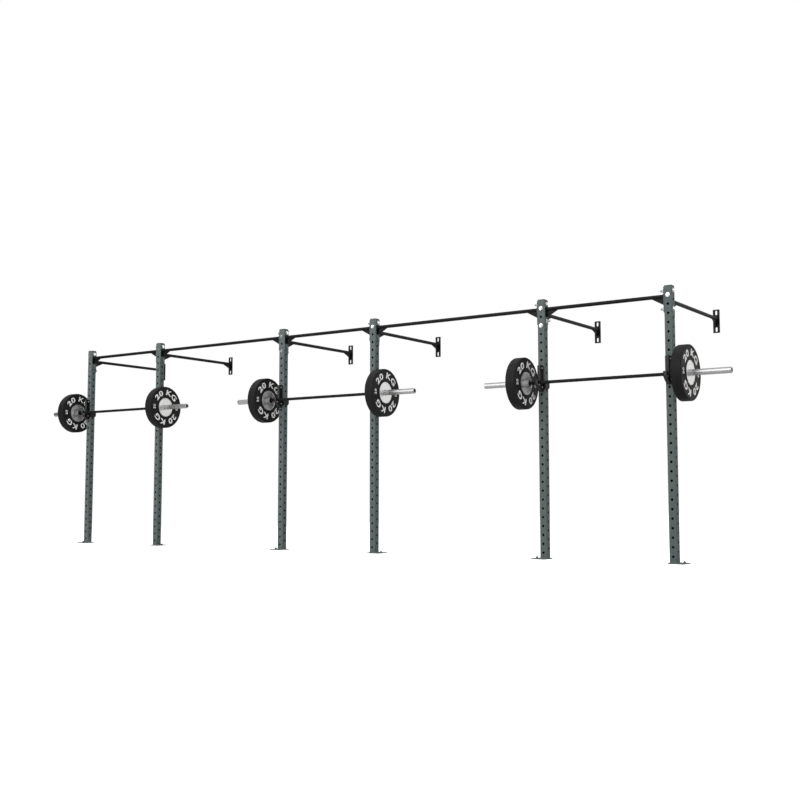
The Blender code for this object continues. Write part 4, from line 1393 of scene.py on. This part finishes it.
def stretch(low, high, radius):
    """A length of shaft with a hair of chamfer at both ends."""
    nip = 0.0003
    shape = spun([(low, 0.0), (low, radius - nip), (low + nip, radius), (high - nip, radius),
                  (high, radius - nip), (high, 0.0)], steps=48)
    return mesh_of(shape, "stretch")


def both_sides(low, high, radius):
    """A stretch on the right, and its mirror image on the left."""
    return [stretch(low, high, radius), stretch(-high, -low, radius)]


knurled = [stretch(-SMOOTH_FROM, SMOOTH_FROM, SHAFT_RADIUS)]
knurled += both_sides(SMOOTH_TO, MARK, SHAFT_RADIUS)
knurled += both_sides(MARK + MARK_WIDTH, COLLAR_FACE + IN_COLLAR, SHAFT_RADIUS)
smooth = both_sides(SMOOTH_FROM, SMOOTH_TO, SMOOTH_RADIUS)
smooth += both_sides(MARK, MARK + MARK_WIDTH, MARK_RADIUS)
smooth += both_sides(COLLAR_FACE + IN_COLLAR, SHAFT_HALF, INNER_RADIUS)
KNURLED = mesh_of(joined(*knurled), "knurled stretches")
SMOOTH = mesh_of(joined(*smooth), "smooth stretches")
print("collar face", round(COLLAR_FACE, 4), "shaft half", round(SHAFT_HALF, 4))

# %% [markdown]
# A sleeve turns on the shaft. It is a chromed tube with a thick collar that stops the plates, and a
# black bushing shows at the collar's inner end. The outer end is chamfered and hollow, with a grey
# plug and a black snap ring inside it. All of these are profiles spun about the bar's axis.

# %% Sleeve
SLEEVE_END = SHAFT_HALF + 0.004
COLLAR_LONG = 0.062
COLLAR_RADIUS, SLEEVE_RADIUS, BORE = 0.034, 0.025, 0.0146
MOUTH_RADIUS, MOUTH_DEEP = 0.0195, 0.006
BUSHING_RADIUS, BUSHING_OUT, BUSHING_IN = 0.0225, 0.004, 0.001
PLUG_FACE, PLUG_THICK, PLUG_RADIUS = SLEEVE_END - 0.0045, 0.002, 0.0190
RING_THICK, RING_IN, RING_OUT = 0.0018, 0.0158, 0.0193


def sleeve_mesh():
    face, shoulder, end = COLLAR_FACE, COLLAR_FACE + COLLAR_LONG, SLEEVE_END
    profile = [
        (face, BORE), (face, COLLAR_RADIUS - 0.004), (face + 0.0012, COLLAR_RADIUS - 0.0014),
        (face + 0.004, COLLAR_RADIUS), (shoulder - 0.0015, COLLAR_RADIUS), (shoulder, COLLAR_RADIUS - 0.0015),
        (shoulder, SLEEVE_RADIUS + 0.002), (shoulder + 0.002, SLEEVE_RADIUS), (end - 0.003, SLEEVE_RADIUS),
        (end - 0.0009, SLEEVE_RADIUS - 0.0009), (end, SLEEVE_RADIUS - 0.003), (end, MOUTH_RADIUS),
        (end - MOUTH_DEEP, MOUTH_RADIUS - 0.0005), (end - MOUTH_DEEP, BORE),
    ]
    return mesh_of(spun(profile, steps=64), "sleeve")


def bushing_mesh():
    outside, inside = COLLAR_FACE - BUSHING_OUT, COLLAR_FACE + BUSHING_IN
    profile = [(outside, BORE), (outside, BUSHING_RADIUS - 0.002), (outside + 0.001, BUSHING_RADIUS),
               (inside, BUSHING_RADIUS), (inside, BORE)]
    return mesh_of(spun(profile, steps=48), "bushing")


def plug_mesh():
    back = PLUG_FACE - PLUG_THICK
    profile = [(back, 0.0), (back, PLUG_RADIUS), (PLUG_FACE - 0.0004, PLUG_RADIUS),
               (PLUG_FACE, PLUG_RADIUS - 0.0006), (PLUG_FACE, 0.0)]
    return mesh_of(spun(profile, steps=48), "end plug")


def snap_ring_mesh():
    front = PLUG_FACE + RING_THICK
    profile = [(PLUG_FACE, RING_IN), (PLUG_FACE, RING_OUT), (front, RING_OUT), (front, RING_IN)]
    return mesh_of(spun(profile, steps=48), "snap ring")


END_PLUG, SNAP_RING = plug_mesh(), snap_ring_mesh()
SLEEVE, BUSHING = sleeve_mesh(), bushing_mesh()
for number, x in enumerate(CELL_X, start=1):
    node, body = f"barbell_shaft_{number}", f"barbell_{number}"
    put(f"bar_grip_{number}", KNURLED, GRIP, at(x, RACK_Y, RACK_Z), body, "shaft_steel", node)
    put(f"bar_smooth_{number}", SMOOTH, SMOOTH_OXIDE, at(x, RACK_Y, RACK_Z), body, "shaft_steel", node)
    for side, turn in (("left", pi), ("right", 0.0)):
        body = node = f"sleeve_{number}_{side}"
        here = at(x, RACK_Y, RACK_Z, turn)
        put(f"sleeve_tube_{number}_{side}", SLEEVE, CHROME, here, body, "sleeve_chrome", node)
        put(f"sleeve_bushing_{number}_{side}", BUSHING, SMOOTH_OXIDE, here, body, "sleeve_chrome", node)
        put(f"sleeve_plug_{number}_{side}", END_PLUG, SATIN_ZINC_AND_SHADE, here, body, "sleeve_chrome", node)
        put(f"sleeve_snap_ring_{number}_{side}", SNAP_RING, SMOOTH_OXIDE, here, body, "shaft_steel")
print("three barbells placed")

# %% [markdown]
# ## Bumper plates
#
# A bumper plate is a thick ring of rubber moulded onto a steel hub. Its faces are not flat: a raised
# ring runs round the hub and another round the rim, and the band between them is sunk, with raised
# numbers in it. The hub is flat on the outside and dished on the inside, where the collar of the
# sleeve goes in.

# %% Rubber ring and hub
PLATE_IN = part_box("bumper_rubber_1_right")[0].x - CELL_X[0]
PLATE_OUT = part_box("bumper_rubber_1_right")[1].x - CELL_X[0]
PLATE_RADIUS, RIM_ROUND, QUARTER_STEPS = 0.225, 0.009, 5
HUB_RADIUS = 0.100
RING_BORE, RING_LEAN = HUB_RADIUS + FIT_GAP, 0.0015
BAND_IN, BAND_OUT, BAND_SUNK = 0.124, 0.204, 0.0025
HUB_SUNK, HUB_SEAT, HUB_SEAT_RADIUS = 0.003, 0.030, 0.040
HUB_BORE = SLEEVE_RADIUS + 0.0005


def quarter(centre, radius, start):
    """Points on a quarter of a circle, for the round of a rim."""
    angles = [start + pi / 2 * step / QUARTER_STEPS for step in range(QUARTER_STEPS + 1)]
    return [(centre[0] + radius * cos(a), centre[1] + radius * sin(a)) for a in angles]


def half_face(x, inwards):
    """One face of the ring, from the hub outwards. Inwards is +1 or -1 along X."""
    sunk, slope = x + inwards * BAND_SUNK, x + inwards * 0.0008
    return [(x, HUB_RADIUS + RING_LEAN), (x, BAND_IN - 0.004), (slope, BAND_IN - 0.002), (sunk, BAND_IN),
            (sunk, BAND_OUT), (slope, BAND_OUT + 0.002), (x, BAND_OUT + 0.004)]


def rubber_ring():
    low, high = PLATE_IN, PLATE_OUT
    across = PLATE_RADIUS - RIM_ROUND
    profile = [(low + RING_LEAN, RING_BORE), *half_face(low, 1)]
    profile += reversed(quarter((low + RIM_ROUND, across), RIM_ROUND, pi / 2))
    profile += reversed(quarter((high - RIM_ROUND, across), RIM_ROUND, 0.0))
    profile += [*reversed(half_face(high, -1)), (high - RING_LEAN, RING_BORE)]
    return mesh_of(spun(profile, steps=128), "rubber ring")


def hub_mesh():
    low, high = PLATE_IN + HUB_SUNK, PLATE_OUT - HUB_SUNK
    seat, flat = PLATE_IN + HUB_SEAT, high - 0.0016
    profile = [
        (seat, HUB_BORE), (seat, HUB_SEAT_RADIUS), (low + 0.0025, HUB_RADIUS - 0.0075),
        (low + 0.0002, HUB_RADIUS - 0.0050), (low, HUB_RADIUS - 0.0035), (low, HUB_RADIUS),
        (high, HUB_RADIUS), (high, HUB_RADIUS - 0.0035), (high - 0.0002, HUB_RADIUS - 0.0045),
        (flat, HUB_RADIUS - 0.0060), (flat, HUB_BORE + 0.0008), (high - 0.0024, HUB_BORE),
    ]
    return mesh_of(spun(profile, steps=96), "hub")


RING, HUB = rubber_ring(), hub_mesh()
print("rubber ring", len(RING.polygons), "faces, hub", len(HUB.polygons), "faces")

# %% [markdown]
# The numbers say only what the plate weighs. Each character is a text object, made a mesh and set on
# the band by itself: moved out to its radius, turned to its place on the arc, and stood up so that
# it reads from outside. Both faces carry the weight above and below the hub, and a small one on
# either side.

# %% Raised numbers
NUMBER_RISE, NUMBER_BITE = 0.0022, 0.0001
SPACE_WIDTH, MIDDLE_HEIGHT = 0.3, 0.36


def glyph_mesh(character, size, bold):
    text = bpy.data.curves.new("number", "FONT")
    text.body = character
    text.size = size
    text.align_x = "CENTER"
    text.extrude = NUMBER_RISE / 2
    text.offset = bold
    text.resolution_u = 6
    holder = bpy.data.objects.new("number", text)
    bpy.context.scene.collection.objects.link(holder)
    bpy.context.view_layer.update()
    mesh = bpy.data.meshes.new_from_object(holder.evaluated_get(bpy.context.evaluated_depsgraph_get()))
    bpy.data.objects.remove(holder, do_unlink=True)
    return mesh


def arc_of(words, middle_angle, radius, size, bold, widen, gap):
    """The characters of a word side by side on an arc, with their feet towards the hub."""
    glyphs = [None if character == " " else glyph_mesh(character, size, bold) for character in words]
    spans = [(0.0, size * SPACE_WIDTH) if mesh is None else
             (min(v.co.x for v in mesh.vertices), max(v.co.x for v in mesh.vertices)) for mesh in glyphs]
    widths = [(right - left) * widen for left, right in spans]
    reach = radius + MIDDLE_HEIGHT * size
    start = -(sum(widths) + gap * (len(words) - 1)) / 2
    made = []
    for mesh, (left, right), width in zip(glyphs, spans, widths):
        angle = middle_angle - (start + width / 2) / reach
        start += width + gap
        if mesh is not None:
            wide = Matrix.Diagonal((widen, 1.0, 1.0, 1.0))
            mesh.transform(at(turn=angle) @ at(0, radius) @ wide @ at(-(left + right) / 2))
            made.append(mesh)
    print("word", words, "spans", round(2 * abs(start - gap) / reach * 180 / pi), "degrees")
    return made


def numbers_shape():
    """The characters of one face, standing in the plane across the bar."""
    flat = []
    for turn in (0.0, pi):
        flat += arc_of("20 KG", turn, radius=0.135, size=0.079, bold=0.0017, widen=1.42, gap=0.012)
        flat += arc_of("20", turn + pi / 2, radius=0.149, size=0.040, bold=0.0004, widen=1.25, gap=0.005)
    return moved(joined(*flat), TO_SIDE_VIEW)


number_lift = NUMBER_RISE / 2 - NUMBER_BITE
faces = [at(PLATE_OUT - BAND_SUNK + number_lift), at(PLATE_IN + BAND_SUNK - number_lift, turn=pi)]
numbers = [mesh_of(moved(numbers_shape(), place), "numbers") for place in faces]
NUMBERS = mesh_of(joined(*numbers), "plate numbers")
print("raised numbers:", len(NUMBERS.polygons), "faces")

# %% Place the six plates
for number, x in enumerate(CELL_X, start=1):
    for side, turn in (("left", pi), ("right", 0.0)):
        name = f"{number}_{side}"
        here = at(x, RACK_Y, RACK_Z, turn)
        body = f"bumper_{name}"
        put(f"plate_ring_{name}", RING, RUBBER, here, body, "bumper_rubber", f"bumper_rubber_{name}")
        put(f"plate_hub_{name}", HUB, HUB_STEEL, here, body, "hub_steel", f"bumper_hub_{name}")
        put(f"plate_numbers_{name}", NUMBERS, WHITE_FILL, here, body, "bumper_rubber")
print("six bumper plates placed")
